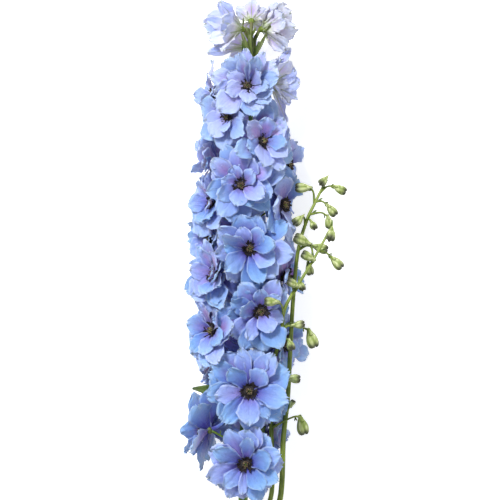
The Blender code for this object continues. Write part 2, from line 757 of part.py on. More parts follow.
def stem_shapes(lenses):
    heights = tapered(STEM_POINTS, 0.0, STEM_TOP)
    stem = tube([stem_place(h) for h in heights], [stem_radius(h) for h in heights], 2)
    shapes = [stem]
    for row in BLOOMS:
        matrix = bloom_frame(*row[1:5])
        points = pedicel_points(matrix, row[1] - PEDICEL_DROP)
        shapes.append(tube(points, tapered(len(points), PEDICEL_RADIUS * 1.2, PEDICEL_RADIUS)))
    for row in HEADS:
        matrix = frame_at(Vector(row[1]), Vector(row[2]), Vector((0.0, 0.97, 0.23)))
        height = min(row[1][1] - 22, STEM_TOP - 4)
        points = pedicel_points(matrix, height, 4, HEAD_PEDICEL_GAP)
        shapes.append(tube(points, tapered(len(points), 1.3, 1.1)))
    for row in LEAVES:
        shapes.append(leaf_shape(lenses["outer"], *row))
    return shapes


def shoot_shapes(points, radii, buds):
    places = [Vector(point) for point in points]
    shapes = [tube(places, tapered(len(places), *radii), 1)]
    for height, middle, angle, lift, length, arch in buds:
        direction = page_direction(angle, lift)
        length *= BUD_SIZE
        start = along(points, height)
        back = Vector(middle) - direction * (length / 2 - 0.8)
        rise = start.lerp(back, 0.35) + Vector((0, 3, arch))
        count = 4 if arch > 2 else 3
        stalk = bezier(start, rise, back - direction * 4, back, count)
        shapes.append(tube(stalk, [BUD_STALK_RADIUS] * count))
        shapes.append(bud_shape(middle, direction, length))
    return shapes


def smooth_round_faces(obj, angle):
    obj.data.shade_smooth()
    obj.data.set_sharp_from_angle(angle=math.radians(angle))


def centre_on_surface(objects):
    """Moves the plant so that its box stands centred on the origin."""
    corners = [obj.matrix_world @ Vector(corner) for obj in objects for corner in obj.bound_box]
    low = [min(corner[i] for corner in corners) for i in range(3)]
    high = [max(corner[i] for corner in corners) for i in range(3)]
    place = bpy.data.objects.new("plant_place", None)
    bpy.context.scene.collection.objects.link(place)
    place.location = (-(low[0] + high[0]) / 2, -(low[1] + high[1]) / 2, -low[2])
    for obj in objects:
        obj.parent = place


def main():
    clear_scene()
    plant = make_collection("delphinium_flower_spike")
    petal_blue = make_material("petal blue", PETAL_COLOUR, 0.55)
    petal_pale = make_material("petal pale", HEAD_COLOUR, 0.55)
    eye_dark = make_material("eye dark", EYE_COLOUR, 0.7)
    stem_green = make_material("stem green", STEM_COLOUR, 0.45)
    shoot_green = make_material("shoot green", SHOOT_COLOUR, 0.5)
    lenses = {"outer": lens_mesh(4), "inner": lens_mesh(3)}

    surroundings = Surroundings()
    nodes = []
    groups = {
        "main_stem": (stem_shapes(lenses), stem_green),
        "side_shoot_a": (shoot_shapes(SHOOT_A, SHOOT_A_RADII, BUDS_A), shoot_green),
        "side_shoot_b": (shoot_shapes(SHOOT_B, SHOOT_B_RADII, BUDS_B), shoot_green),
    }
    for name, (shapes, material) in groups.items():
        for shape in shapes:
            surroundings.add(name, shape)
        nodes.append(fused(name, shapes, material, plant))
    for row in BLOOMS:
        matrix = bloom_frame(*row[1:5])
        size = row[5] / FULL_REACH
        eye = eye_shape(matrix, size)
        surroundings.add(row[0] + "_eye", eye)
        surroundings.add(row[0], core_shape(matrix, size))
        nodes.append(fused(row[0] + "_eye", [eye], eye_dark, plant))
    for index, row in enumerate(HEADS):
        nodes.append(make_head(index, row, lenses["inner"], surroundings, petal_pale, plant))
    for index, row in enumerate(BLOOMS):
        nodes.append(make_bloom(index, row, lenses, surroundings, petal_blue, plant))
    for lens in lenses.values():
        bpy.data.meshes.remove(lens)
    for obj in nodes:
        smooth_round_faces(obj, 60 if obj.name.startswith(("bloom", "head")) else 45)
    bpy.context.view_layer.update()
    centre_on_surface(nodes)


main()
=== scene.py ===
# Delphinium flower spike, laid on a pale surface: fine petals, eyes, buds and stems
# Plant places are in millimetres: x right of the cut end, height along the stem, z up
import math
import random

import bpy
import bmesh
from mathutils import Matrix, Vector, kdtree, noise
from mathutils.bvhtree import BVHTree


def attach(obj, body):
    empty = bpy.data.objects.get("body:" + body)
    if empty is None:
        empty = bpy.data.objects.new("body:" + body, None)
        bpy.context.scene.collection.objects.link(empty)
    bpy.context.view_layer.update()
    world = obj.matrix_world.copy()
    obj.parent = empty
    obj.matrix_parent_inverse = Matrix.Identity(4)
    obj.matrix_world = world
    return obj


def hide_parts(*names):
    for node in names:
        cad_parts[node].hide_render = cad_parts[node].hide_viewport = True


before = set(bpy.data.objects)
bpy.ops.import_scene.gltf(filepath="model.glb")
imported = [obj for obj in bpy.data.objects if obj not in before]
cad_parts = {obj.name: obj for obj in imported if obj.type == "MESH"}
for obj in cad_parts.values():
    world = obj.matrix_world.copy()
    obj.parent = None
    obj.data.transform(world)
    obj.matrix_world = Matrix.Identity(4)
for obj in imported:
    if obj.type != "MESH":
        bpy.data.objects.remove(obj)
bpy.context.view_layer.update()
mm = 0.001
print("frame loaded,", len(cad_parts), "nodes")

# The stem that everything grows from
stem = {
    "top": 475.0,
    "lean": 0.0204,
    "leansFrom": 100.0,
    "axisHeight": 38.0,
    "cutEndSag": 14.0,
    "sagFrom": 130.0,
    "radius": 4.1,
    "tipRadius": 1.5,
    "sides": 30,
    "rings": 90,
    "ribs": 7,
    "ribDepth": 0.05,
}

# What all petals share
petalForm = {
    "pinwheel": 13.0,
    "outerRoot": (1.2, -2.6),
    "innerRoot": (1.0, -1.0),
    "outerOpening": 76.0,
    "innerOpening": 62.0,
    "innerReach": 0.78,
    "innerTurn": 36.0,
    "outerWidth": 0.42,
    "innerWidth": 0.43,
    "curl": 16.0,
    "cup": 0.10,
    "wave": 1.1,
    "narrowestOpening": 12.0,
    "clawWidth": 0.10,
    "clawSpread": 1.40,
    "tipFrom": 0.58,
    "tipSpan": 0.45,
    "tipWidth": 0.30,
    "thickness": 0.32,
    "acrossParts": 14,
    "alongParts": 21,
    "surfaceStep": 0.05,    # each next petal lies this much higher where it is pressed flat
}

# How the petals of the part are found again, in millimetres
partMatch = {
    "near": 0.06,
    "leastCorners": 2,
    "lowCorners": 2.5,
    "pressedBelow": 1.6,
    "rowSpread": 1.4,
}

# How a petal may stand folded, turned or shortened beside its neighbours:
# change of opening, turn round the bloom, share of its length
petalFolds = [
    (0, 0, 1.0), (-7, 0, 1.0), (7, 0, 1.0), (-14, 0, 1.0), (14, 0, 1.0),
    (0, 9, 1.0), (0, -9, 1.0), (-21, 0, 1.0), (21, 0, 1.0), (-12, 9, 1.0),
    (-12, -9, 1.0), (-28, 0, 0.95), (28, 0, 0.95), (0, 0, 0.88),
    (-15, 0, 0.88), (15, 0, 0.88), (-35, 0, 0.9), (35, 0, 0.9),
    (-25, 10, 0.9), (-25, -10, 0.9),
    (0, 0, 0.75), (-20, 0, 0.75), (20, 0, 0.75), (-42, 0, 0.85), (45, 0, 0.85),
    (-30, 12, 0.75), (-30, -12, 0.75), (0, 0, 0.62), (-25, 0, 0.62),
    (25, 0, 0.62), (-45, 0, 0.62), (50, 0, 0.62), (0, 0, 0.48),
    (-30, 0, 0.48), (30, 0, 0.48), (0, 0, 0.36), (-30, 0, 0.36),
]

# Blooms whose petals the photograph shows one by one: direction round the eye, length
# and half width, first the outer layer and then the inner one
shownPetals = {
    "bloom_front_1": (
        [(18, 30, 10), (72, 31, 9), (117, 31, 9), (201, 33, 11), (244, 31, 9),
         (290, 33, 10), (332, 30, 9)],
        [(152, 30, 9), (84, 24, 7), (304, 26, 9), (262, 25, 5), (226, 26, 8)],
    ),
    "bloom_front_2": (
        [(102, 35, 8), (56, 35, 11), (350, 35, 11), (318, 35, 9), (276, 36, 11),
         (184, 34, 11), (143, 36, 10)],
        [(130, 26, 9), (188, 28, 9), (230, 33, 9), (341, 21, 8), (306, 26, 7)],
    ),
    "bloom_front_3": (
        [(299, 34, 12), (246, 34, 9), (221, 30, 10), (163, 25, 9), (126, 28, 10),
         (62, 29, 9), (8, 24, 9)],
        [(240, 27, 7), (92, 20, 7), (45, 22, 7), (340, 20, 7)],
    ),
    "bloom_front_4": (
        [(352, 35, 11), (314, 31, 10), (272, 36, 10), (238, 31, 10), (188, 28, 10),
         (146, 31, 9), (74, 27, 10)],
        [(220, 27, 10), (287, 30, 9), (14, 23, 7), (115, 20, 8)],
    ),
    "bloom_front_5": (
        [(268, 33, 10), (234, 31, 11), (190, 29, 11), (136, 32, 10), (92, 31, 10),
         (34, 31, 9), (320, 30, 9)],
        [(206, 23, 9), (345, 24, 9), (300, 20, 7), (112, 18, 7)],
    ),
    "bloom_front_6": (
        [(86, 30, 9), (44, 27, 9), (4, 30, 10), (330, 33, 11), (292, 29, 9),
         (250, 29, 11), (202, 30, 10)],
        [(258, 22, 9), (312, 24, 9), (148, 26, 9), (30, 20, 8)],
    ),
    "bloom_front_7": (
        [(155, 30, 11), (214, 28, 10), (262, 27, 9), (326, 29, 10), (30, 28, 10),
         (92, 26, 9)],
        [(238, 21, 9), (186, 19, 8), (116, 18, 7), (0, 16, 6)],
    ),
    "bloom_front_8": (
        [(92, 30, 8), (62, 30, 7), (280, 27, 10), (222, 32, 12), (164, 30, 9),
         (130, 28, 9), (14, 26, 9), (322, 24, 8)],
        [(350, 20, 8), (196, 21, 8), (104, 20, 6)],
    ),
    "bloom_left_3": (
        [(204, 33, 11), (256, 33, 11), (308, 34, 11), (8, 32, 11), (74, 34, 11), (128, 32, 10)],
        [(232, 25, 9), (338, 25, 9), (44, 24, 9), (104, 25, 9)],
    ),
    "bloom_left_4": (
        [(196, 33, 10), (250, 34, 12), (302, 32, 11), (12, 32, 11), (80, 33, 11), (136, 31, 10)],
        [(224, 25, 9), (332, 25, 9), (44, 24, 9), (110, 25, 9)],
    ),
}

# name, height on the stem, side of the stem it stands on (0 up, 90 right), side it
# faces, lean towards the tip, petal length, degrees less open than a flat bloom,
# petals of the two layers, share of lavender in its blue
blooms = [
    ("bloom_front_1", 130.9, 3, 2, -6, 32, 0, None, 0.32),
    ("bloom_front_2", 192.8, 6, 3, -2, 35, 0, None, 0.28),
    ("bloom_front_3", 260.3, 21, 8, -8, 32, 6, None, 0.50),
    ("bloom_front_4", 313.8, 3, 0, -4, 32, 4, None, 0.45),
    ("bloom_front_5", 367.6, -12, -8, -6, 31, 10, None, 0.50),
    ("bloom_front_6", 404.8, 20, 26, 12, 30, 12, None, 0.90),
    ("bloom_front_8", 452.2, -5, -8, 4, 30, 12, None, 0.80),
    ("bloom_front_7", 425.6, -36, -44, 0, 28, 14, None, 0.30),
    ("bloom_right_5", 350.8, 64, 52, 4, 32, 8, (5, 5), 0.30),
    ("bloom_left_4", 291.4, -60, -50, 6, 34, 8, None, 0.70),
    ("bloom_left_3", 243.2, -62, -52, 6, 34, 8, None, 0.95),
    ("bloom_left_1", 157.8, -80, -128, 12, 35, 18, (6, 4), 0.25),
    ("bloom_right_4", 289.0, 88, 62, 2, 33, 8, (5, 5), 1.20),
    ("bloom_right_3", 231.8, 96, 58, -6, 33, 0, (5, 4), 0.80),
    ("bloom_left_2", 212.0, -118, -112, 4, 28, 6, (5, 3), 1.30),
    ("bloom_left_6", 352.6, -78, -56, 8, 30, 12, (5, 4), 0.55),
    ("bloom_left_5", 322.7, -94, -72, 0, 31, 12, (5, 4), 0.90),
    ("bloom_right_6", 385.8, 90, 70, 0, 31, 10, (5, 3), 0.45),
    ("bloom_left_7", 389.9, -92, -112, 10, 31, 16, (5, 3), 0.95),
    ("bloom_left_8", 446.8, -92, -70, 8, 28, 14, (5, 3), 0.50),
    ("bloom_right_1", 152.0, 138, 122, 0, 29, 0, (5, 3), 0.50),
    ("bloom_right_2", 192.0, 116, 94, 0, 30, 0, (5, 3), 0.55),
    ("bloom_back_1", 175.0, -160, -164, 0, 30, 0, (5, 3), 0.45),
    ("bloom_back_2", 256.0, 166, 170, 0, 30, 0, (5, 3), 0.45),
    ("bloom_back_3", 325.0, -166, -170, 0, 30, 0, (5, 3), 0.40),
    ("bloom_back_4", 412.0, 168, 172, 0, 29, 0, (5, 3), 0.45),
]

# Half-open heads round the tip: name, place of the base, direction, length
heads = [
    ("head_left", (-3.5, 503.0, 46.0), (-0.90, 0.12, 0.30), 28),
    ("head_right", (19.0, 503.0, 47.0), (0.88, 0.22, 0.26), 29),
    ("head_top", (7.4, 510.0, 49.0), (0.03, 0.48, -0.88), 21),
    ("head_low", (25.5, 457.0, 42.0), (0.74, 0.10, 0.62), 27),
    ("head_back", (4.0, 489.0, 27.0), (-0.30, 0.05, -0.95), 24),
]


# Short helpers for places and directions

def pageDirection(angle, lift):
    turn, rise = math.radians(angle), math.radians(lift)
    return Vector((math.cos(turn) * math.cos(rise), math.sin(turn) * math.cos(rise), math.sin(rise)))


def bezier(start, first, second, end, count):
    points = []
    for i in range(count):
        t = i / (count - 1)
        s = 1 - t
        points.append(start * s**3 + first * (3 * s * s * t) + second * (3 * s * t * t) + end * t**3)
    return points


def stemPlace(height):
    sag = max(0.0, (stem["sagFrom"] - height) / stem["sagFrom"])
    x = stem["lean"] * max(0.0, height - stem["leansFrom"])
    return Vector((x, height, stem["axisHeight"] - stem["cutEndSag"] * sag * sag))


def stemRadius(height):
    share = max(0.0, (height - stem["leansFrom"]) / (stem["top"] - stem["leansFrom"]))
    return stem["radius"] - (stem["radius"] - stem["tipRadius"]) * share**1.3


def frameAt(centre, facing, upwards):
    facing = facing.normalized()
    right = upwards.cross(facing).normalized()
    upper = facing.cross(right)
    matrix = Matrix((right, upper, facing)).transposed().to_4x4()
    matrix.translation = centre
    return matrix


def plantShift():    # where the middle of the cut end stands in the frame
    places = {tuple(round(c, 6) for c in v.co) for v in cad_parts["main_stem"].data.vertices}
    lowest = min(place[1] for place in places)
    ring = [Vector(place) for place in places if place[1] < lowest + 2 * mm]
    return sum(ring, Vector()) / len(ring) - stemPlace(0.0) * mm


shift = plantShift()
print("plant stands at", [round(c, 4) for c in shift])


# Petals: where they stand on the part, and their fine form

def petalOutline(t):    # share of the half width from the claw (0) to the tip (1)
    form = petalForm
    claw = min(1.0, form["clawWidth"] + form["clawSpread"] * t)
    tip = math.sqrt(max(0.0, 1.0 - max(0.0, (t - form["tipFrom"]) / form["tipSpan"]) ** 2))
    return claw * max(tip, form["tipWidth"])


def petalSection(petal, t):    # middle, side, face and forward directions across a petal at t
    opening, curl = math.radians(petal["opening"]), math.radians(petal["curl"])
    angle = opening + curl * t
    rootRadius, rootHeight = petal["root"]
    radius = rootRadius + petal["length"] * (math.cos(opening) - math.cos(angle)) / curl
    height = rootHeight + petal["length"] * (math.sin(angle) - math.sin(opening)) / curl
    turn, twist = math.radians(petal["turn"]), math.radians(petal.get("roll", petalForm["pinwheel"]))
    outwards = Vector((math.cos(turn), math.sin(turn), 0.0))
    sideways = Vector((math.sin(turn), -math.cos(turn), 0.0))
    facing = Vector((0.0, 0.0, math.sin(angle))) - outwards * math.cos(angle)
    side = sideways * math.cos(twist) + facing * math.sin(twist)
    face = facing * math.cos(twist) - sideways * math.sin(twist)
    forward = outwards * math.sin(angle) + Vector((0.0, 0.0, math.cos(angle)))
    return outwards * radius + Vector((0.0, 0.0, height)), side, face, forward


def plainPetalPoint(petal, across, t):
    middle, side, face = petalSection(petal, t)[:3]
    outline = petalOutline(t)
    ruffle = petalForm["wave"] * t * math.sin(petal["phase"] + 7.0 * t + 1.3 * across) * abs(across)
    raised = petalForm["cup"] * petal["halfWidth"] * across * across * outline + ruffle
    return middle + side * (petal["halfWidth"] * outline * across) + face * raised


def layerPetals(spec, reach, opening, root, widthShare, rng, firstTurn):
    if isinstance(spec, int):
        step = 360.0 / spec
        spec = [
            (
                firstTurn + step * i + rng.uniform(-8, 8),
                reach * rng.uniform(0.9, 1.06),
                reach * widthShare * rng.uniform(0.92, 1.06),
            )
            for i in range(spec)
        ]
    petals = []
    for turn, length, halfWidth in spec:
        petals.append({
            "turn": turn,
            "length": length,
            "halfWidth": halfWidth,
            "opening": opening + rng.uniform(-5, 5),
            "curl": petalForm["curl"] + rng.uniform(-6, 10),
            "phase": rng.uniform(0, 2 * math.pi),
            "root": root,
        })
    return petals


def bloomPetals(index, row):
    reach, closing, layers = row[5], row[6], row[7] or shownPetals[row[0]]
    rng = random.Random(100 + index)
    first = 90 + rng.uniform(-12, 12)
    outer = layerPetals(
        layers[0], reach, petalForm["outerOpening"] - closing, petalForm["outerRoot"],
        petalForm["outerWidth"], rng, first,
    )
    inner = layerPetals(
        layers[1], reach * petalForm["innerReach"], petalForm["innerOpening"] - closing,
        petalForm["innerRoot"], petalForm["innerWidth"], rng, first + petalForm["innerTurn"],
    )
    return outer + inner


def headPetals(index, length):
    rng = random.Random(500 + index)
    petals = []
    for i in range(6):
        inner = i == 5
        petals.append({
            "turn": 90 + 72 * i + rng.uniform(-8, 8),
            "length": length * rng.uniform(0.92, 1.05) * (0.8 if inner else 1.0),
            "halfWidth": length * 0.36,
            "opening": 30 + rng.uniform(-6, 8) - (14 if inner else 0),
            "curl": 14.0,
            "phase": rng.uniform(0, 2 * math.pi),
            "root": petalForm["outerRoot"],
        })
    return petals


def foldedPetal(petal, fold):
    change, turn, share = fold
    folded = dict(petal)
    folded["opening"] += change
    folded["turn"] += turn
    folded["length"] *= share
    folded["halfWidth"] *= 0.5 + 0.5 * share
    return folded


def partTrees(node):    # the node's corners in plant millimetres, and the low ones seen from above
    places = {tuple(round(c, 7) for c in v.co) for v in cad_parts[node].data.vertices}
    places = [(Vector(place) - shift) / mm for place in places]
    full, low = kdtree.KDTree(len(places)), kdtree.KDTree(len(places))
    for i, place in enumerate(places):
        full.insert(place, i)
        if place.z < partMatch["lowCorners"]:
            low.insert((place.x, place.y, 0.0), i)
    full.balance()
    low.balance()
    return full, low


def petalOnPart(petal, trees, matrix, rowShares):
    # The fold in which the part holds this petal, found by its rim corners, or None
    best, bestCount = None, partMatch["leastCorners"] - 1
    for fold in petalFolds:
        folded = foldedPetal(petal, fold)
        if folded["opening"] < petalForm["narrowestOpening"]:
            continue
        count = 0
        for share in rowShares:
            for across in (-1, 1):
                t = 1.0 - (1.0 - share) ** partMatch["rowSpread"]
                place = matrix @ plainPetalPoint(folded, across, t)
                if place.z < partMatch["pressedBelow"]:
                    found = trees[1].find((place.x, place.y, 0.0))
                else:
                    found = trees[0].find(place)
                count += found[2] is not None and found[2] < partMatch["near"]
        if count > bestCount:
            best, bestCount = folded, count
    return best


def addGrid(mesh, acrossParts, alongParts):    # a new flat grid in the mesh, and its corners
    made = bmesh.ops.create_grid(mesh, x_segments=acrossParts, y_segments=alongParts, size=1.0)
    return made["verts"]


def makeSolid(mesh, verts, thickness):    # gives a sheet its thickness, closed at the rim
    faces = list({face for vert in verts for face in vert.link_faces})
    edges = list({edge for vert in verts for edge in vert.link_edges})
    bmesh.ops.solidify(mesh, geom=list(verts) + edges + faces, thickness=thickness * mm)


def newPiece():    # a mesh with what the materials read on each corner
    mesh = bmesh.new()
    names = ("across", "along", "tint", "warmth", "pale", "paintedShade")
    layers = {name: mesh.verts.layers.float.new(name) for name in names}
    return mesh, layers


def finishPiece(mesh, name, materials, node):    # the piece that stands for a node of the part
    bmesh.ops.recalc_face_normals(mesh, faces=mesh.faces)
    for face in mesh.faces:
        face.smooth = True
    data = bpy.data.meshes.new(name)
    mesh.to_mesh(data)
    mesh.free()
    for material in materials:
        data.materials.append(material)
    piece = bpy.data.objects.new(name, data)
    bpy.context.scene.collection.objects.link(piece)
    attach(piece, "root")
    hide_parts(node)


# The fine form of a petal: a rounded, frilled and crinkled rim on a grooved blade
petalDetail = {
    "rowSpread": 1.3,
    "tipRound": 0.055,
    "notch": 0.03,
    "notchWidth": 0.14,
    "frill": 0.8,
    "frillWaves": 11.0,
    "smallFrill": 0.55,
    "smallFrillWaves": 25.0,
    "crinkle": 1.0,
    "groove": 0.4,
    "grooveWidth": 0.16,
    "pleats": 0.22,
    "pleatWaves": 9.5,
    "twist": 1.5,
    "tipCurl": 1.6,
    "rimWobble": 0.05,
    "wobbleWaves": 9.0,
    "rimTeeth": 0.03,
    "sideTeeth": 27.0,
    "tipTeeth": 13.0,
    "rimNoise": 0.12,
    "tipNoise": 0.06,
    "pointed": 0.34,
    # how fast the painted throat shade fades along a petal
    "duskFall": 1.4,
    # painted shade is full this close to the stem's middle and gone this far out, in millimetres
    "paintedShadeFrom": 14.0,
    "paintedShadeTo": 35.0,
}


def nearStem(place):    # painted shade near the stem: 1 close to it, where little light comes in, 0 out where the light comes
    away = (place - stemPlace(place.y)).length
    share = (petalDetail["paintedShadeTo"] - away) / (petalDetail["paintedShadeTo"] - petalDetail["paintedShadeFrom"])
    return min(1.0, max(0.0, share))


def addPetal(mesh, layers, petal, matrix, tint, warmth, level):
    detail, phase, ragged = petalDetail, petal["phase"], petal.get("ragged", 1.0)
    seed = Vector((phase * 11.3, tint * 7.7, petal["turn"] * 0.37))
    sections = {}
    verts = addGrid(mesh, petalForm["acrossParts"], petalForm["alongParts"])
    for vert in verts:
        across, share = vert.co.x, (vert.co.y + 1.0) / 2.0
        t = 1.0 - (1.0 - share) ** detail["rowSpread"]
        key = round(vert.co.y, 4)
        if key not in sections:
            sections[key] = petalSection(petal, t)
        middle, side, face, forward = sections[key]
        tipward = max(0.0, (t - 0.5) / 0.5)
        rim = max(abs(across), tipward) ** 3
        outline = petalOutline(t)
        rimNoise = noise.noise(seed + Vector((across * 1.7, t * 5.0, 0.0)))
        rimNoise += 0.5 * noise.noise(seed + Vector((across * 5.0, t * 13.0, 7.0)))
        width = petal["halfWidth"] * outline * (
            1.0
            + detail["rimWobble"] * math.sin(detail["wobbleWaves"] * t + phase * 3.0 + across)
            + detail["rimTeeth"] * ragged * math.sin(detail["sideTeeth"] * t + phase * 5.0 + 2.0 * across)
            + detail["rimNoise"] * ragged * rimNoise
        ) * (1.0 - detail["pointed"] * petal.get("point", 0.0) * t**3)
        raised = petalForm["cup"] * petal["halfWidth"] * across * across * outline
        raised += petalForm["wave"] * t * math.sin(phase + 7.0 * t + 1.3 * across) * abs(across)
        raised += detail["twist"] * math.sin(phase * 12.9) * across * abs(across) * outline * t
        raised += detail["tipCurl"] * math.sin(phase * 7.3 + 1.0) * t**4
        raised += detail["frill"] * rim * math.sin(phase * 2.3 + detail["frillWaves"] * t + 3.4 * across)
        smallWave = math.sin(phase * 5.1 + detail["smallFrillWaves"] * t + 8.0 * across)
        raised += detail["smallFrill"] * rim * smallWave
        pleat = math.sin(detail["pleatWaves"] * across + phase * 2.0)
        raised += detail["pleats"] * t * (0.5 + 1.5 * rim) * pleat
        raised += detail["crinkle"] * (0.25 + rim) * noise.noise(seed + Vector((across * 3.1, t * 6.0, 4.0)))
        grooved = math.exp(-((across / detail["grooveWidth"]) ** 2))
        raised -= detail["groove"] * grooved * math.sin(math.pi * min(1.0, t * 1.1))
        notch = detail["notch"] * math.exp(-((across / detail["notchWidth"]) ** 2))
        teeth = detail["rimTeeth"] * math.sin(detail["tipTeeth"] * across + phase * 4.0)
        teeth = ragged * (teeth + detail["tipNoise"] * rimNoise)
        ahead = t**6 * (detail["tipRound"] * (1.0 - across * across) - notch + teeth)
        place = middle + side * (width * across) + face * raised + forward * (petal["length"] * ahead)
        place = matrix @ place
        place.z = max(place.z, level + petalForm["thickness"])
        vert.co = place * mm + shift
        vert[layers["across"]] = across
        vert[layers["along"]] = t
        vert[layers["tint"]] = tint
        vert[layers["warmth"]] = warmth
        vert[layers["pale"]] = petal.get("pale", 0.0)
        # Painted shade: darker near the stem, where little light comes, and in the throats of upper petals
        dusk = petal.get("dusk", 0.0) * max(0.0, 1.0 - t / petal.get("duskTo", 1.0)) ** detail["duskFall"]
        vert[layers["paintedShade"]] = max(petal.get("shaded", 0.0) * nearStem(place), dusk)
    makeSolid(mesh, verts, petalForm["thickness"])


def addTube(mesh, layers, points, radii, sides, rings, ribs=0, ribDepth=0.0, material=0, tint=0.5):
    # A round stalk through the points: a cylinder cut into rings, each set on the path.
    # Its material is the number of a skin in the list that finishPiece gets
    made = bmesh.ops.create_cone(mesh, cap_ends=True, segments=sides, radius1=1.0, radius2=1.0, depth=1.0)
    longEdges = [
        edge for edge in {edge for vert in made["verts"] for edge in vert.link_edges}
        if abs(edge.verts[0].co.z - edge.verts[1].co.z) > 0.5
    ]
    cut = bmesh.ops.subdivide_edges(mesh, edges=longEdges, cuts=rings - 1)
    inner = [item for item in cut["geom_inner"] if isinstance(item, bmesh.types.BMVert)]
    verts = {corner for vert in inner for edge in vert.link_edges for corner in edge.verts}
    frames = pathFrames([Vector(point) for point in points], radii, rings)
    for vert in verts:
        share, angle = vert.co.z + 0.5, math.atan2(vert.co.y, vert.co.x)
        middle, side, other, radius = frames[round(share * rings)]
        radius *= 1.0 + ribDepth * math.cos(ribs * angle)
        place = middle + (side * math.cos(angle) + other * math.sin(angle)) * radius
        vert.co = place * mm + shift
        vert[layers["across"]] = math.cos(ribs * angle) if ribs else math.cos(angle)
        vert[layers["along"]] = share
        vert[layers["tint"]] = tint
        for face in vert.link_faces:
            face.material_index = material


def smoothPath(points, share):    # a place on a smooth curve through the points
    spans = len(points) - 1
    i = min(int(share * spans), spans - 1)
    t = share * spans - i
    b, c = points[i], points[i + 1]
    a = points[i - 1] if i > 0 else b + (b - c)
    d = points[i + 2] if i + 2 <= spans else c + (c - b)
    return 0.5 * (2 * b + (c - a) * t + (2 * a - 5 * b + 4 * c - d) * t * t + (3 * b - a - 3 * c + d) * t**3)


def pathFrames(points, radii, rings):    # places, two sideways directions and radii along a path
    places = [smoothPath(points, i / rings) for i in range(rings + 1)]
    side = None
    frames = []
    for i, place in enumerate(places):
        ahead = (places[min(i + 1, rings)] - places[max(i - 1, 0)]).normalized()
        if side is None:    # seen from a direction that no path follows
            side = ahead.cross(Vector((0.0, 0.31, 0.95))).normalized()
        side = (side - ahead * side.dot(ahead)).normalized()
        spot = i / rings * (len(radii) - 1)
        j = min(int(spot), len(radii) - 2)
        radius = radii[j] + (radii[j + 1] - radii[j]) * (spot - j)
        frames.append((place, side, ahead.cross(side), radius))
    return frames


# Materials, each with its own colours and pattern

def colour(red, green, blue):    # screen values from 0 to 255, made linear
    shares = [value / 255.0 for value in (red, green, blue)]
    linear = [s / 12.92 if s < 0.0405 else ((s + 0.055) / 1.055) ** 2.4 for s in shares]
    return (*linear, 1.0)


def newNode(tree, kind, sockets=None, **settings):
    node = tree.nodes.new(kind)
    for name, value in settings.items():
        setattr(node, name, value)
    for name, value in (sockets or {}).items():
        if isinstance(value, bpy.types.NodeSocket):
            tree.links.new(value, node.inputs[name])
        else:
            node.inputs[name].default_value = value
    return node


def mathNode(tree, operation, first, second=0.0, clamp=False):
    sockets = {0: first, 1: second}
    return newNode(tree, "ShaderNodeMath", sockets, operation=operation, use_clamp=clamp).outputs[0]


def product(tree, first, second):
    return mathNode(tree, "MULTIPLY", first, second)


def mixColour(tree, share, first, second):
    sockets = {0: share, 6: first, 7: second}
    return newNode(tree, "ShaderNodeMix", sockets, data_type="RGBA", blend_type="MIX").outputs[2]


def smoothStep(tree, value, low, high, lowTo=0.0, highTo=1.0):
    sockets = {0: value, 1: low, 2: high, 3: lowTo, 4: highTo}
    return newNode(tree, "ShaderNodeMapRange", sockets, interpolation_type="SMOOTHSTEP").outputs[0]


def attribute(tree, name):
    return newNode(tree, "ShaderNodeAttribute", attribute_name=name).outputs["Fac"]


def objectNoise(tree, scale, detail=2.0, stretch=None):
    place = newNode(tree, "ShaderNodeTexCoord").outputs["Object"]
    if stretch:
        place = newNode(tree, "ShaderNodeMapping", {"Vector": place, "Scale": stretch}).outputs[0]
    sockets = {"Vector": place, "Scale": scale, "Detail": detail, "Roughness": 0.55}
    return newNode(tree, "ShaderNodeTexNoise", sockets).outputs["Fac"]


def rampNode(tree, value, stops):
    node = newNode(tree, "ShaderNodeValToRGB", {"Fac": value})
    ramp = node.color_ramp
    while len(ramp.elements) < len(stops):
        ramp.elements.new(0.5)
    for element, (position, shade) in zip(ramp.elements, stops):
        element.position = position
        element.color = shade
    return node.outputs["Color"]


def newMaterial(name):
    material = bpy.data.materials.new(name)
    material.use_nodes = True
    return material, material.node_tree, material.node_tree.nodes["Principled BSDF"]


def setSockets(shader, values):
    for name, value in values.items():
        shader.inputs[name].default_value = value


def bumpInto(tree, shader, height, strength, distance):
    sockets = {"Height": height, "Strength": strength, "Distance": distance}
    tree.links.new(newNode(tree, "ShaderNodeBump", sockets).outputs[0], shader.inputs["Normal"])


bluePetal = {
    # dark violet at the claw: partly the petal's own colour and partly painted shade under the eye
    "throat": colour(62, 50, 130),
    "low": colour(98, 93, 187),
    "blade": colour(125, 152, 231),
    "outer": colour(153, 188, 249),
    "rim": colour(204, 222, 252),
    "lavender": colour(174, 134, 213),
    "vein": colour(86, 94, 190),
    "midrib": colour(112, 120, 206),
    "spot": colour(96, 122, 112),
    "blush": colour(132, 158, 236),
    "blushShare": 0.45,
    "paler": colour(198, 208, 247),
    "paleShare": 0.38,
    # dark violet painted shade
    "paintedShade": colour(56, 54, 140),
    "paintedShadeShare": 0.8,
    "rimShare": 0.42,
    "veinShare": 0.30,
    "midribShare": 0.35,
    "midribWidth": 0.10,
    "midribEnd": 0.90,
    "spotFrom": 0.62,
}

palePetal = {
    "throat": colour(124, 152, 60),
    "low": colour(206, 218, 170),
    "blade": colour(238, 234, 250),
    "outer": colour(212, 220, 255),
    "rim": colour(244, 246, 255),
    "lavender": colour(204, 182, 238),
    "vein": colour(140, 152, 190),
    "midrib": colour(136, 160, 78),
    "spot": colour(104, 132, 62),
    "blush": colour(142, 174, 248),
    "blushShare": 0.9,
    "paler": colour(250, 250, 255),
    "paleShare": 0.5,
    # grey-violet painted shade
    "paintedShade": colour(120, 120, 180),
    "paintedShadeShare": 0.5,
    "rimShare": 0.50,
    "veinShare": 0.26,
    "midribShare": 0.85,
    "midribWidth": 0.20,
    "midribEnd": 1.15,
    "spotFrom": 0.15,
}


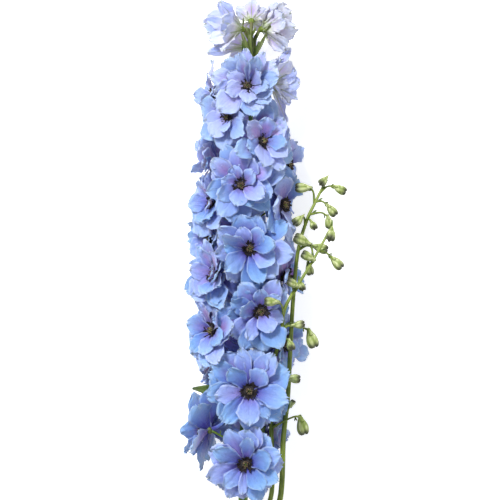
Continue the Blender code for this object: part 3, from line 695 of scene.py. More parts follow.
# The pattern of a petal, the same on blue and pale ones
petalPattern = {
    "patchScale": 42.0,
    "patchShare": 1.7,
    "coarseVeins": 15.0,
    "fineVeins": 33.0,
    "veinWaver": 2.6,
    "waverScale": 260.0,
    "rimFrom": 0.72,
    "tipRimFrom": 0.86,
    "spotShare": 0.6,
    "values": (0.86, 1.08),
    "hues": (0.49, 0.508),
    "saturations": (1.10, 0.92),
    "roughnesses": (0.46, 0.62),
    "bump": 0.7,
    "bumpDistance": 0.0008,
}


def veinLines(tree, across, count, waver, softness):    # 1 along each vein, 0 between them
    wave = mathNode(tree, "SINE", mathNode(tree, "ADD", product(tree, across, count), waver))
    return smoothStep(tree, mathNode(tree, "ABSOLUTE", wave), 0.0, softness, 1.0, 0.0)


def petalMaterial(name, look):
    pattern = petalPattern
    material, tree, shader = newMaterial(name)
    along, across = attribute(tree, "along"), attribute(tree, "across")
    tint, warmth = attribute(tree, "tint"), attribute(tree, "warmth")
    fromMiddle = mathNode(tree, "ABSOLUTE", across)
    # Darker towards the claw: on blue petals partly their own colour and partly painted shade under the eye;
    # pale petals are green there
    stops = [(0.0, look["throat"]), (0.25, look["low"]), (0.52, look["blade"]), (0.90, look["outer"])]
    shade = rampNode(tree, along, stops)
    # Some petals turn to a second blue outwards
    second = product(tree, smoothStep(tree, tint, 0.5, 1.0), smoothStep(tree, along, 0.15, 0.75))
    shade = mixColour(tree, product(tree, second, look["blushShare"]), shade, look["blush"])
    # Lavender comes in soft patches, most of it in the middle of the blade
    patches = smoothStep(tree, objectNoise(tree, pattern["patchScale"], 3.0), 0.32, 0.62)
    inMiddle = smoothStep(tree, fromMiddle, 0.85, 0.05, 0.15, 1.0)
    inward = product(tree, smoothStep(tree, along, 0.92, 0.45, 0.1, 1.0), inMiddle)
    warm = mathNode(tree, "MULTIPLY", product(tree, patches, inward), warmth, True)
    warm = mathNode(tree, "MULTIPLY", warm, pattern["patchShare"], True)
    shade = mixColour(tree, warm, shade, look["lavender"])
    # Blooms near the tip are paler, and painted shade darkens the petals near the stem, where little light
    # comes in between them, and the throats of upper petals
    shade = mixColour(tree, product(tree, attribute(tree, "pale"), look["paleShare"]), shade, look["paler"])
    shade = mixColour(tree, product(tree, attribute(tree, "paintedShade"), look["paintedShadeShare"]), shade, look["paintedShade"])
    # A midrib that fades towards the tip
    ribLine = smoothStep(tree, fromMiddle, look["midribWidth"], 0.01)
    midrib = product(tree, ribLine, smoothStep(tree, along, look["midribEnd"], 0.3))
    shade = mixColour(tree, product(tree, midrib, look["midribShare"]), shade, look["midrib"])
    # Veins fan out from the claw, with finer ones between them further out
    waver = product(tree, objectNoise(tree, pattern["waverScale"], 2.0), pattern["veinWaver"])
    coarse = veinLines(tree, across, pattern["coarseVeins"], waver, 0.35)
    fine = veinLines(tree, across, pattern["fineVeins"], waver, 0.5)
    fine = product(tree, fine, smoothStep(tree, along, 0.35, 0.7, 0.0, 0.6))
    veins = mathNode(tree, "MAXIMUM", coarse, fine)
    faded = product(tree, veins, smoothStep(tree, along, 0.2, 1.0, look["veinShare"], 0.08))
    shade = mixColour(tree, faded, shade, look["vein"])
    # A pale, thin rim, and a green-grey spot under the tip of some petals
    rimNoise = smoothStep(tree, objectNoise(tree, 130.0, 2.0), 0.3, 0.6, 0.35, 1.0)
    sideRim = smoothStep(tree, fromMiddle, pattern["rimFrom"], 1.0)
    rim = mathNode(tree, "MAXIMUM", sideRim, smoothStep(tree, along, pattern["tipRimFrom"], 1.0))
    rim = product(tree, product(tree, rim, rimNoise), look["rimShare"])
    shade = mixColour(tree, rim, shade, look["rim"])
    spot = product(tree, smoothStep(tree, along, 0.90, 0.97), smoothStep(tree, fromMiddle, 0.34, 0.10))
    spot = product(tree, spot, mathNode(tree, "GREATER_THAN", tint, look["spotFrom"]))
    shade = mixColour(tree, product(tree, spot, pattern["spotShare"]), shade, look["spot"])
    # Each petal is a little lighter or deeper than the next
    value = smoothStep(tree, tint, 0.0, 1.0, *pattern["values"])
    mottle = smoothStep(tree, objectNoise(tree, 420.0, 3.0), 0.3, 0.7, 0.95, 1.03)
    sockets = {
        "Hue": smoothStep(tree, tint, 0.0, 1.0, *pattern["hues"]),
        "Saturation": smoothStep(tree, tint, 0.0, 1.0, *pattern["saturations"]),
        "Value": product(tree, value, mottle),
        "Color": shade,
    }
    shade = newNode(tree, "ShaderNodeHueSaturation", sockets).outputs[0]
    tree.links.new(shade, shader.inputs["Base Color"])
    roughness = smoothStep(tree, objectNoise(tree, 300.0), 0.3, 0.7, *pattern["roughnesses"])
    tree.links.new(roughness, shader.inputs["Roughness"])
    crinkle = mathNode(tree, "ADD", product(tree, veins, -0.4), objectNoise(tree, 520.0, 3.0))
    bumpInto(tree, shader, crinkle, pattern["bump"], pattern["bumpDistance"])
    setSockets(shader, {
        "Subsurface Weight": 0.3,
        "Subsurface Radius": (1.0, 0.85, 0.65),
        "Subsurface Scale": 0.002,
        "Sheen Weight": 0.25,
        "Sheen Roughness": 0.45,
        "Specular IOR Level": 0.35,
    })
    return material


# Green skins; what a look leaves out is as in plainSkin
plainSkin = {"ribShare": 0.5, "tipShare": 0.75, "tipFrom": 0.62}
stemLook = {
    "light": colour(110, 144, 42), "dark": colour(60, 88, 18), "tip": colour(96, 122, 44),
    "scale": 500.0, "roughness": 0.42,
}
cutLook = {
    "light": colour(196, 206, 150), "dark": colour(150, 168, 100), "tip": colour(196, 206, 150),
    "scale": 900.0, "roughness": 0.6,
}
pedicelLook = {
    "light": colour(98, 114, 44), "dark": colour(56, 66, 24), "tip": colour(104, 98, 62),
    "scale": 700.0, "roughness": 0.45,
}
leafLook = {
    "light": colour(92, 116, 42), "dark": colour(56, 78, 26), "tip": colour(96, 108, 60),
    "scale": 300.0, "roughness": 0.45,
}
shootLook = {
    "light": colour(136, 154, 54), "dark": colour(78, 98, 24), "tip": colour(150, 166, 84),
    "scale": 600.0, "roughness": 0.45,
}
budLook = {
    "light": colour(204, 212, 156), "dark": colour(118, 138, 52), "tip": colour(42, 44, 34),
    "scale": 420.0, "roughness": 0.5, "ribShare": 0.85, "tipShare": 0.9, "tipFrom": 0.68,
}


def plantMaterial(name, look):
    # Green skin, streaked lengthwise, darker in its grooves and turning to another colour at the tip
    look = plainSkin | look
    material, tree, shader = newMaterial(name)
    along, across = attribute(tree, "along"), attribute(tree, "across")
    streaks = smoothStep(tree, objectNoise(tree, look["scale"], 3.0, (1.0, 0.08, 1.0)), 0.3, 0.7)
    shade = mixColour(tree, streaks, look["light"], look["dark"])
    grooves = smoothStep(tree, across, 0.2, -1.0, 0.0, look["ribShare"])
    shade = mixColour(tree, grooves, shade, look["dark"])
    blotches = smoothStep(tree, objectNoise(tree, look["scale"] * 0.25, 3.0), 0.45, 0.75, 0.0, 0.35)
    shade = mixColour(tree, blotches, shade, look["light"])
    tipward = smoothStep(tree, along, look["tipFrom"], 1.0, 0.0, look["tipShare"])
    shade = mixColour(tree, tipward, shade, look["tip"])
    tree.links.new(shade, shader.inputs["Base Color"])
    roughness = smoothStep(tree, streaks, 0.0, 1.0, look["roughness"], look["roughness"] + 0.15)
    tree.links.new(roughness, shader.inputs["Roughness"])
    bumpInto(tree, shader, objectNoise(tree, look["scale"] * 1.6, 4.0, (1.0, 0.15, 1.0)), 0.4, 0.0004)
    setSockets(shader, {
        "Subsurface Weight": 0.08,
        "Subsurface Radius": (0.9, 1.0, 0.4),
        "Subsurface Scale": 0.001,
    })
    return material


# Small hairy or dusty parts: two colours in fine speckles
beeLook = {
    "light": colour(36, 21, 35), "dark": colour(6, 4, 8),
    "scale": 1500.0, "roughness": 0.85, "sheen": 0.06,
}
antherLook = {
    "light": colour(128, 98, 58), "dark": colour(44, 30, 22),
    "scale": 2600.0, "roughness": 0.8, "sheen": 0.1,
}
hairLook = {
    "light": colour(222, 206, 158), "dark": colour(128, 104, 66),
    "scale": 2000.0, "roughness": 0.7, "sheen": 0.2,
}


def speckledMaterial(name, look):
    material, tree, shader = newMaterial(name)
    speckles = smoothStep(tree, objectNoise(tree, look["scale"], 3.0), 0.4, 0.62)
    shade = mixColour(tree, speckles, look["dark"], look["light"])
    tree.links.new(shade, shader.inputs["Base Color"])
    roughness = smoothStep(tree, speckles, 0.0, 1.0, look["roughness"], look["roughness"] - 0.15)
    tree.links.new(roughness, shader.inputs["Roughness"])
    bumpInto(tree, shader, objectNoise(tree, look["scale"] * 1.5, 3.0), 0.6, 0.0003)
    setSockets(shader, {"Sheen Weight": look["sheen"]})
    return material


blueSkin = petalMaterial("blue petal", bluePetal)
paleSkin = petalMaterial("pale petal", palePetal)
stemSkin = plantMaterial("stem skin", stemLook)
cutSkin = plantMaterial("cut end", cutLook)
pedicelSkin = plantMaterial("pedicel skin", pedicelLook)
leafSkin = plantMaterial("leaf skin", leafLook)
shootSkin = plantMaterial("shoot skin", shootLook)
budSkin = plantMaterial("bud skin", budLook)
beeSkin = speckledMaterial("dark bee petal", beeLook)
antherSkin = speckledMaterial("anther", antherLook)
hairSkin = speckledMaterial("eye hair", hairLook)
print("materials made")


# Blooms: the petals of the part first, then more of them wherever there is room
bloomForm = {
    "eyeDistance": 32.0,    # from the middle of the stem
    "fullReach": 32.0,
    "coreDepth": 5.0,
    "coreHeights": (-5.3, -4.0, -2.0, -0.4),
    "coreRadii": (1.4, 2.6, 3.42, 2.88),
    "headCoreHeights": (-5.6, -4.2, -2.0, 0.6),
    "headCoreRadii": (1.7, 2.4, 3.0, 2.2),
    "spurTurns": [0, 25, -25, 50, -50, 80, -80, 115, -115, 150, -150, 180],
    "spurLength": 14.0,
    "spurRadius": 1.7,
    "spurStart": (0.62, 0.78),    # outwards and back, up to its middle and from there
    "spurEnd": (0.80, 0.60),
    "pointedNames": {"bloom_left_1": 1.5, "bloom_left_2": 0.8, "bloom_left_7": 0.8, "bloom_back_1": 0.6},
    "raggedNames": {"bloom_front_2": 1.0, "bloom_front_8": 0.8, "bloom_right_5": 0.9, "bloom_left_1": 0.8,
                    "bloom_left_2": 0.1},
    "raggedElsewhere": 0.5,
    "headTints": {"head_low": (0.6, 1.0), "head_left": (0.45, 0.95)},    # share of the other blue
    "headTintsElsewhere": (0.0, 0.8),
    "evenNames": {"bloom_left_1": 0.35},    # share of the usual difference from petal to petal
    "warmthAway": 0.9,    # of blooms that face away from the viewer
    "warmthFrom": 0.65,
    "warmthRise": 0.55,    # upper petals are warmer
    "duskShare": 1.15,    # how dark the painted shade in the throats is
    "duskNames": {"bloom_left_3": 1.7, "bloom_left_1": 0.7},
    "duskTo": 0.85,
    "duskRise": 0.35,
    "paleFrom": 345.0,    # blooms turn paler between these heights
    "paleTo": 450.0,
    "outerRows": (0.5, 0.75, 1.0),    # rows of corners that the part's petals have
    "innerRows": (1 / 3, 2 / 3, 1.0),
    "sheetRows": 7,    # the coarse sheet that a new petal is tried with
    "sheetColumns": 5,
    "sheetFrom": 0.24,
    "sheetLength": 0.78,
    "sheetWider": 1.04,
    "aboveFloor": 0.5,
    "uprightBelow": 45,
    # Petals added behind the outer layer, and between those of the inner one
    "behind": {"gap": 30.0, "opening": 9.0, "root": (1.2, -3.4), "reach": 0.97, "width": 0.39},
    "between": {"gap": 75.0, "opening": -6.0, "root": (1.2, -0.8), "reach": 0.92, "width": 0.40},
}

# Folds that a new petal is tried in
extraFolds = [
    (0, 0, 1.0), (-8, 0, 1.0), (8, 0, 1.0), (0, 8, 1.0), (0, -8, 1.0), (-16, 0, 0.95),
    (16, 0, 0.95), (-8, 10, 0.9), (-8, -10, 0.9), (0, 0, 0.82), (-14, 0, 0.82),
    (14, 0, 0.82), (-24, 0, 0.8), (24, 0, 0.8), (0, 0, 0.65), (-18, 0, 0.65), (18, 0, 0.65),
]


def bloomMatrix(row):
    height, stands, faces, lean = row[1:5]
    stand, face, rise = math.radians(stands), math.radians(faces), math.radians(lean)
    centre = stemPlace(height) + Vector((math.sin(stand), 0.0, math.cos(stand))) * bloomForm["eyeDistance"]
    facing = Vector((math.sin(face) * math.cos(rise), math.sin(rise), math.cos(face) * math.cos(rise)))
    return frameAt(centre, facing, Vector((0.0, 1.0, 0.0)))


def headMatrix(row):
    return frameAt(Vector(row[1]), Vector(row[2]), Vector((0.0, 0.97, 0.23)))


def petalTree(petal, matrix):    # a coarse sheet of the petal, to see what it would cross
    rows, columns, wider = bloomForm["sheetRows"], bloomForm["sheetColumns"], bloomForm["sheetWider"]
    places, faces = [], []
    for i in range(rows):
        t = bloomForm["sheetFrom"] + bloomForm["sheetLength"] * i / (rows - 1)
        for j in range(columns):
            across = -wider + 2 * wider * j / (columns - 1)
            places.append(matrix @ plainPetalPoint(petal, across, t))
    for i in range(rows - 1):
        for j in range(columns - 1):
            a = i * columns + j
            faces.append((a, a + 1, a + columns + 1, a + columns))
    middle = sum(places, Vector()) / len(places)
    lowest = min(place.z for place in places)
    return BVHTree.FromPolygons(places, faces), middle, max((p - middle).length for p in places), lowest


def nodeTree(node):    # the same for a node of the part
    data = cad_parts[node].data
    places = [(vert.co - shift) / mm for vert in data.vertices]
    tree = BVHTree.FromPolygons(places, [tuple(face.vertices) for face in data.polygons])
    middle = sum(places, Vector()) / len(places)
    return tree, middle, max((p - middle).length for p in places)


def isClear(owner, candidate, placed):
    tree, middle, reach, lowest = candidate
    for other, otherTree, otherMiddle, otherReach in placed:
        if other != owner and (middle - otherMiddle).length < reach + otherReach and tree.overlap(otherTree):
            return False
    return lowest > bloomForm["aboveFloor"]


# Directions between neighbours that stand further apart than least, and their mean length
def widestGaps(petals, least):
    ordered = sorted(petals, key=lambda petal: petal["turn"] % 360)
    gaps = []
    for a, b in zip(ordered, ordered[1:] + ordered[:1]):
        turn, gap = a["turn"] % 360, (b["turn"] - a["turn"]) % 360
        if gap > least:
            gaps.append((turn + gap / 2, (a["length"] + b["length"]) / 2))
    return gaps


def morePetals(index, row, petals):    # petals to try behind the outer layer and in the inner one
    closing = row[6]
    rng = random.Random(900 + index)
    more = []
    for kind, layer in ((bloomForm["behind"], "outer"), (bloomForm["between"], "inner")):
        found = [petal for petal in petals if petal["root"] == petalForm[layer + "Root"]]
        opening = petalForm[layer + "Opening"] - closing + kind["opening"]
        for turn, length in widestGaps(found, kind["gap"]):
            more.append({
                "turn": turn + rng.uniform(-6, 6),
                "length": length * kind["reach"] * rng.uniform(0.92, 1.04),
                "halfWidth": length * kind["width"] * rng.uniform(0.92, 1.08),
                "opening": opening + rng.uniform(-5, 5),
                "curl": petalForm["curl"] + rng.uniform(-6, 10),
                "phase": rng.uniform(0, 2 * math.pi),
                "root": kind["root"],
            })
    return more


# Petals given one by one where the photograph shows one that the part leaves out: bloom, direction
# round its eye, opening, length, half width, share of the other blue, how far it is rolled
handPetals = [
    ("bloom_left_4", -24, 118, 30, 11, 0.5, 13), ("bloom_left_4", -52, 122, 31, 11, 0.2, 13),
    ("bloom_left_3", -30, 118, 31, 11, 0.5, 13), ("bloom_left_3", -62, 120, 30, 11, 0.2, 13),
    ("bloom_left_3", 40, 116, 29, 10, 0.7, 13),
    ("bloom_left_4", 207, 62, 32, 9, 0.1, 13), ("bloom_left_2", -85, 72, 20, 8, 0.2, 90),
    ("bloom_left_5", 150, 45, 28, 9, 0.3, 13), ("bloom_left_5", 180, 45, 28, 9, 0.1, 13),
    ("bloom_left_5", 210, 45, 28, 9, 0.6, 13), ("bloom_front_8", -46, 97, 33, 8, 0.1, 13),
    ("bloom_front_8", 98, 40, 29, 8, 0.2, 30), ("bloom_front_8", 66, 40, 29, 8, 0.0, -30),
    ("bloom_front_5", -22, 40, 27, 9, 0.9, 25), ("bloom_front_4", 16, 40, 25, 8, 0.2, 30),
    ("bloom_front_4", 152, 42, 31, 8, 0.4, 35), ("bloom_right_3", -20, 60, 33, 9, 0.4, 13),
    ("bloom_right_3", 24, 70, 26, 8, 0.6, 13),
    ("bloom_front_5", 115, 84, 35, 9, 0.3, 13), ("bloom_front_5", 18, 86, 36, 10, 0.6, 13),
    ("bloom_front_6", 283, 88, 33, 9, 0.2, 13), ("bloom_left_6", 92, 74, 30, 10, 0.7, 13),
    ("bloom_right_5", 262, 82, 29, 10, 0.4, 13), ("bloom_front_4", 35, 88, 36, 10, 0.1, 13),
    ("bloom_front_3", 194, 90, 38, 11, 0.3, 13), ("bloom_front_3", 77, 88, 31, 10, 0.5, 13),
    ("bloom_front_4", 298, 90, 36, 10, 0.8, 13),
    ("head_left", 97, 31, 30, 8, 0.9, -50), ("head_left", 158, 22, 32, 9, 0.8, -20),
    ("head_left", 188, 18, 33, 9, 1.0, 5), ("head_left", 210, 24, 30, 8, 0.8, 20),
    ("head_left", 235, 36, 27, 8, 0.7, 40), ("head_left", -30, 26, 22, 10, 0.0, 0),
    ("head_right", 102, 34, 26, 8, 0.0, -60), ("head_right", 203, 14, 34, 11, 0.2, 0),
    ("head_right", 250, 46, 26, 8, 0.0, 60), ("head_right", 150, 24, 29, 9, 0.6, -20),
    ("head_top", 90, 48, 18, 7, 0.1, 8), ("head_top", 30, 52, 15, 6, 0.0, 8),
    ("head_top", 150, 52, 16, 6, 0.1, 8), ("head_top", 225, 50, 16, 6, 0.5, 8),
    ("head_low", 20, 42, 24, 9, 0.9, 13), ("head_low", 58, 46, 24, 8, 0.8, 13),
    ("head_low", 92, 44, 23, 8, 0.0, 30), ("head_low", 124, 50, 22, 9, 0.1, 40),
    ("head_low", 155, 44, 20, 8, 0.0, 30), ("head_low", 345, 40, 25, 9, 0.9, 13),
    ("head_low", 310, 46, 26, 9, 0.8, 13), ("head_low", 275, 40, 24, 8, 0.3, 40),
    ("head_low", 130, 16, 15, 6, 0.0, 30), ("head_low", 330, 20, 15, 6, 0.1, 13),
    ("head_low", 285, 78, 34, 5.5, 1.0, 90), ("head_low", 74, 40, 34, 4.6, 1.0, 60),
    ("head_back", -5, 80, 36, 4.8, 1.0, 8), ("head_back", -62, 62, 20, 8, 0.0, 8),
    ("head_back", -104, 60, 22, 8, 0.2, 8), ("bloom_left_6", 130, 70, 30, 9, 0.6, 13),
    ("bloom_left_6", 180, 70, 27, 9, 0.2, 13),
]


# What a new petal has to clear: owner, tree, middle and reach of each thing in place
placed = []
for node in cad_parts:
    if node.endswith("_eye") or node in ("main_stem", "side_shoot_a", "side_shoot_b"):
        placed.append((node.removesuffix("_eye"), *nodeTree(node)))

petalsOf = {}
for index, row in enumerate(blooms):
    matrix, trees = bloomMatrix(row), partTrees(row[0])
    petalsOf[row[0]] = []
    for petal in bloomPetals(index, row):
        rows = bloomForm["outerRows" if petal["root"] == petalForm["outerRoot"] else "innerRows"]
        found = petalOnPart(petal, trees, matrix, rows)
        if found:
            petalsOf[row[0]].append(found)
            placed.append((row[0] + " petals", *petalTree(found, matrix)[:3]))
for index, row in enumerate(heads):
    matrix, trees = headMatrix(row), partTrees(row[0])
    petalsOf[row[0]] = []
    for petal in headPetals(index, row[3]):
        found = petalOnPart(petal, trees, matrix, bloomForm["innerRows"])
        if found:
            petalsOf[row[0]].append(found)
            placed.append((row[0] + " petals", *petalTree(found, matrix)[:3]))
print("petals found on the part:", sum(len(petals) for petals in petalsOf.values()))

added = 0
for index, row in enumerate(blooms):
    matrix = bloomMatrix(row)
    for petal in morePetals(index, row, petalsOf[row[0]]):
        for fold in extraFolds:
            folded = foldedPetal(petal, fold)
            candidate = petalTree(folded, matrix)
            if isClear(row[0], candidate, placed):
                petalsOf[row[0]].append(folded)
                placed.append((row[0] + " petals", *candidate[:3]))
                added += 1
                break
for index, (name, turn, opening, length, halfWidth, tint, roll) in enumerate(handPetals):
    upright = name.startswith("bloom") and opening < bloomForm["uprightBelow"]
    petalsOf[name].append({
        "turn": turn,
        "length": length,
        "halfWidth": halfWidth,
        "opening": opening,
        "curl": petalForm["curl"],
        "phase": 1.7 * index,
        "root": bloomForm["between" if upright else "behind"]["root"],
        "tint": tint,
        "roll": roll,
    })
print("petals added in the gaps:", added, "and by hand:", len(handPetals))


def spurPath(turn):    # root, middle and end of the spur in the bloom's own frame
    around = math.radians(90 + turn)
    outwards = Vector((math.cos(around), math.sin(around), 0.0))
    back = Vector((0.0, 0.0, -1.0))
    half = bloomForm["spurLength"] * 0.5
    root = back * (bloomForm["coreDepth"] * 0.55) + outwards * 0.6
    (out, down), (endOut, endDown) = bloomForm["spurStart"], bloomForm["spurEnd"]
    middle = root + (outwards * out + back * down) * half
    return root, middle, middle + (outwards * endOut + back * endDown) * half


def spurOnPart(matrix, trees):    # the turn that the part's spur has, or None
    for turn in bloomForm["spurTurns"]:
        end = matrix @ spurPath(turn)[2]
        if len(trees[0].find_range(end, bloomForm["spurRadius"] * 0.4 + 0.05)) >= 3:
            return turn
    return None


def buildBloom(row):
    name, reach, warmth = row[0], row[5], row[8]
    matrix, trees = bloomMatrix(row), partTrees(name)
    rng = random.Random("petals of " + name)
    mesh, layers = newPiece()
    pale = (row[1] - bloomForm["paleFrom"]) / (bloomForm["paleTo"] - bloomForm["paleFrom"])
    for order, petal in enumerate(petalsOf[name]):
        tint = petal.get("tint", rng.random()) * bloomForm["evenNames"].get(name, 1.0)
        level = petalForm["surfaceStep"] * order
        petal["pale"] = min(1.0, max(0.0, pale)) * rng.uniform(0.7, 1.1)
        petal["shaded"] = 1.0
        petal["point"] = bloomForm["pointedNames"].get(name, 0.0)
        petal["ragged"] = bloomForm["raggedNames"].get(name, bloomForm["raggedElsewhere"])
        upwards = math.sin(math.radians(petal["turn"]))
        upper = bloomForm["warmthFrom"] + bloomForm["warmthRise"] * upwards
        if abs(row[3]) > 100:
            upper = bloomForm["warmthAway"]
        dusk = bloomForm["duskShare"] * bloomForm["duskNames"].get(name, 1.0)
        petal["dusk"] = dusk * max(0.0, 0.4 + 0.6 * upwards)    # painted shade in the throat, most on upper petals, which face down
        petal["duskTo"] = bloomForm["duskTo"] + bloomForm["duskRise"] * upwards
        addPetal(mesh, layers, petal, matrix, tint, warmth * upper * rng.uniform(0.3, 1.5), level)
    size = reach / bloomForm["fullReach"]
    core = [matrix @ Vector((0.0, 0.0, z)) for z in bloomForm["coreHeights"]]
    radii = [radius * size for radius in bloomForm["coreRadii"]]
    addTube(mesh, layers, core, radii, sides=14, rings=8, ribs=5, ribDepth=0.08, material=1)
    turn = spurOnPart(matrix, trees)
    if turn is not None:
        path = [matrix @ place for place in spurPath(turn)]
        path.append(path[2] + (path[2] - path[1]) * 0.12)
        thick = bloomForm["spurRadius"]
        radii = [thick * 1.1, thick * 0.85, thick * 0.5, thick * 0.2]
        addTube(mesh, layers, path, radii, sides=12, rings=16, ribs=3, ribDepth=0.1, tint=0.3)
    finishPiece(mesh, "petals_" + name, [blueSkin, pedicelSkin], name)


for row in blooms:
    buildBloom(row)
print("blooms built:", len(blooms))


# The eye of a bloom: dark two-lobed bee petals round a tuft of stamens
eyeForm = {
    "beePetals": 7,
    "beePath": [(1.0, 0.8), (3.2, 1.6), (5.2, 3.0), (6.6, 5.4)],    # distance from the axis, height
    "beeHalfWidth": 2.9,
    "beeThickness": 0.3,
    "beeParts": (8, 9),
    "cleft": 0.26,
    "cleftWidth": 0.3,
    "cupHeights": (0.4, 1.2, 2.1),
    "cupRadii": (1.6, 4.3),
    "stamens": 14,
    "stamenRadius": 0.16,
    "antherSize": (0.48, 0.4, 0.72),
    "pistils": 3,
    "pistilPath": [(0.4, 0.5), (0.5, 2.6), (0.9, 4.6)],
    "pistilRadii": (0.5, 0.4, 0.15),
    "hairs": 34,
    "hairRadius": 0.12,
    "hairLength": 2.0,
}


def addBlob(mesh, layers, centre, direction, size, tint, material):    # a small seed-like body
    made = bmesh.ops.create_uvsphere(mesh, u_segments=7, v_segments=5, radius=1.0)
    place = frameAt(centre, direction, Vector((0.31, 0.87, 0.2)))
    for vert in made["verts"]:
        x, y, z = vert.co
        vert[layers["along"]] = z / 2 + 0.5
        vert[layers["across"]] = x
        vert[layers["tint"]] = tint
        vert.co = (place @ Vector((x * size[0], y * size[1], z * size[2]))) * mm + shift
        for face in vert.link_faces:
            face.material_index = material


def addBeePetal(mesh, layers, matrix, turn, size, rng):
    path = [Vector((radius, 0.0, height)) for radius, height in eyeForm["beePath"]]
    bend = rng.uniform(-0.6, 0.5)
    verts = addGrid(mesh, *eyeForm["beeParts"])
    spin = Matrix.Rotation(math.radians(turn), 4, "Z")
    tint = rng.random()
    for vert in verts:
        across, t = vert.co.x, (vert.co.y + 1.0) / 2.0
        middle = smoothPath(path, t)
        ahead = (smoothPath(path, min(1.0, t + 0.05)) - smoothPath(path, max(0.0, t - 0.05))).normalized()
        face = Vector((0.0, 1.0, 0.0)).cross(ahead)
        width = eyeForm["beeHalfWidth"] * math.sin(math.pi * (0.20 + 0.56 * t)) ** 0.7
        cleft = eyeForm["cleft"] * math.exp(-((across / eyeForm["cleftWidth"]) ** 2)) * t**3
        place = middle + Vector((0.0, width * across, 0.0)) - ahead * (cleft * 5.0)
        place += face * (0.9 * across * across - bend * t * t + 0.3 * math.sin(7 * across + 5 * t + turn))
        vert.co = (matrix @ (spin @ (place * size))) * mm + shift
        vert[layers["across"]] = across
        vert[layers["along"]] = t
        vert[layers["tint"]] = tint
    makeSolid(mesh, verts, eyeForm["beeThickness"])


def buildEye(row):
    name, size = row[0] + "_eye", row[5] / bloomForm["fullReach"]
    matrix = bloomMatrix(row)
    rng = random.Random("eye of " + row[0])
    mesh, layers = newPiece()
    up = Vector((0.0, 0.0, 1.0))
    first = rng.uniform(0, 72)
    count = eyeForm["beePetals"]
    for i in range(count):
        ownSize = size * rng.uniform(0.84, 1.08)
        addBeePetal(mesh, layers, matrix, first + 360 / count * i + rng.uniform(-9, 9), ownSize, rng)
    cup = [matrix @ Vector((0.0, 0.0, z * size)) for z in eyeForm["cupHeights"]]
    radii = [radius * size for radius in eyeForm["cupRadii"]]
    addTube(mesh, layers, cup, radii, sides=14, rings=4, ribs=7, ribDepth=0.12)
    for i in range(eyeForm["stamens"]):
        turn, spread = rng.uniform(0, 2 * math.pi), rng.uniform(0.3, 1.0) ** 0.7
        outwards = Vector((math.cos(turn), math.sin(turn), 0.0))
        foot = outwards * 0.7 + up * 0.5
        knee = outwards * (1.0 + 1.1 * spread) + up * 2.8
        head = outwards * (0.5 + 2.3 * spread) + up * (rng.uniform(4.2, 6.2) - 1.2 * spread)
        path = [matrix @ (place * size) for place in (foot, knee, head)]
        radii = [eyeForm["stamenRadius"] * share for share in (1.3, 1.0, 0.8)]
        addTube(mesh, layers, path, radii, sides=4, rings=5, material=2)
        aside = Vector((rng.uniform(-1, 1), rng.uniform(-1, 1), 0)) * 0.5
        direction = (path[2] - path[1]).normalized() + aside
        addBlob(mesh, layers, path[2], direction, eyeForm["antherSize"], rng.random(), 1)
    for i in range(eyeForm["pistils"]):
        turn = math.radians(120 * i + 20)
        outwards = Vector((math.cos(turn), math.sin(turn), 0.0))
        path = [matrix @ ((outwards * out + up * height) * size) for out, height in eyeForm["pistilPath"]]
        addTube(mesh, layers, path, eyeForm["pistilRadii"], sides=6, rings=6, material=3)
    for i in range(eyeForm["hairs"]):
        turn = rng.uniform(0, 2 * math.pi)
        outwards = Vector((math.cos(turn), math.sin(turn), 0.0))
        radius, height = rng.uniform(1.6, 3.3), rng.uniform(2.4, 4.0)
        foot = outwards * radius + up * height
        lean = outwards * rng.uniform(-1.2, 0.5)
        lean += Vector((rng.uniform(-0.5, 0.5), rng.uniform(-0.5, 0.5), 0.9))
        tip = foot + lean.normalized() * eyeForm["hairLength"] * rng.uniform(0.7, 1.1)
        path = [matrix @ (foot * size), matrix @ ((foot + tip) * 0.5 * size), matrix @ (tip * size)]
        radii = [eyeForm["hairRadius"], eyeForm["hairRadius"] * 0.4]
        addTube(mesh, layers, path, radii, sides=3, rings=2, material=2)
    finishPiece(mesh, "eye_of_" + row[0], [beeSkin, antherSkin, hairSkin, shootSkin], name)


for row in blooms:
    buildEye(row)
print("eyes built:", len(blooms))


# Half-open heads: the same petals, pale, on a green base
def buildHead(row):
    name = row[0]
    matrix = headMatrix(row)
    rng = random.Random("head " + name)
    mesh, layers = newPiece()
    for order, petal in enumerate(petalsOf[name]):
        tints = bloomForm["headTints"].get(name, bloomForm["headTintsElsewhere"])
        tint = petal.get("tint", rng.uniform(*tints))
        addPetal(mesh, layers, petal, matrix, tint, rng.uniform(0.1, 0.9), petalForm["surfaceStep"] * order)
    core = [matrix @ Vector((0.0, 0.0, z)) for z in bloomForm["headCoreHeights"]]
    radii = bloomForm["headCoreRadii"]
    addTube(mesh, layers, core, radii, sides=14, rings=8, ribs=5, ribDepth=0.08, material=1)
    finishPiece(mesh, "petals_" + name, [paleSkin, shootSkin], name)


for row in heads:
    buildHead(row)
print("heads built:", len(heads))


# The stem with its pedicels, leaves and bracts
pedicelForm = {
    "radius": 0.95,
    "drop": 17.0,
    "reachBack": 9.0,
    "seat": 0.4,
    "headDrop": 22.0,
    "belowTop": 4.0,
    "headRadii": (1.9, 1.45, 1.6),
    "sides": 10,
    "rings": 22,
    "bractLength": 11.0,
    "bractHalfWidth": 0.8,
    "headBractHalfWidth": 1.0,
    "bractletAt": 0.72,    # share of the pedicel below them
    "bractletLength": 5.0,
    "bractletHalfWidth": 0.6,
    "headBractAt": 0.60,
    "tipBracts": [    # place, direction, length, half width
        ((8.5, 474.0, 52.0), (-0.36, 0.9, 0.05), 27, 1.5), ((8.5, 474.0, 52.5), (0.42, 0.88, 0.05), 26, 1.5),
        ((8.0, 478.0, 53.0), (-0.12, 0.95, 0.0), 25, 1.3), ((19.0, 500.0, 52.0), (0.72, 0.68, 0.1), 14, 1.4),
        ((19.0, 502.0, 53.0), (0.22, -0.95, 0.2), 9, 0.6), ((0.0, 502.0, 52.0), (0.05, 0.98, 0.2), 10, 0.8),
    ],
}

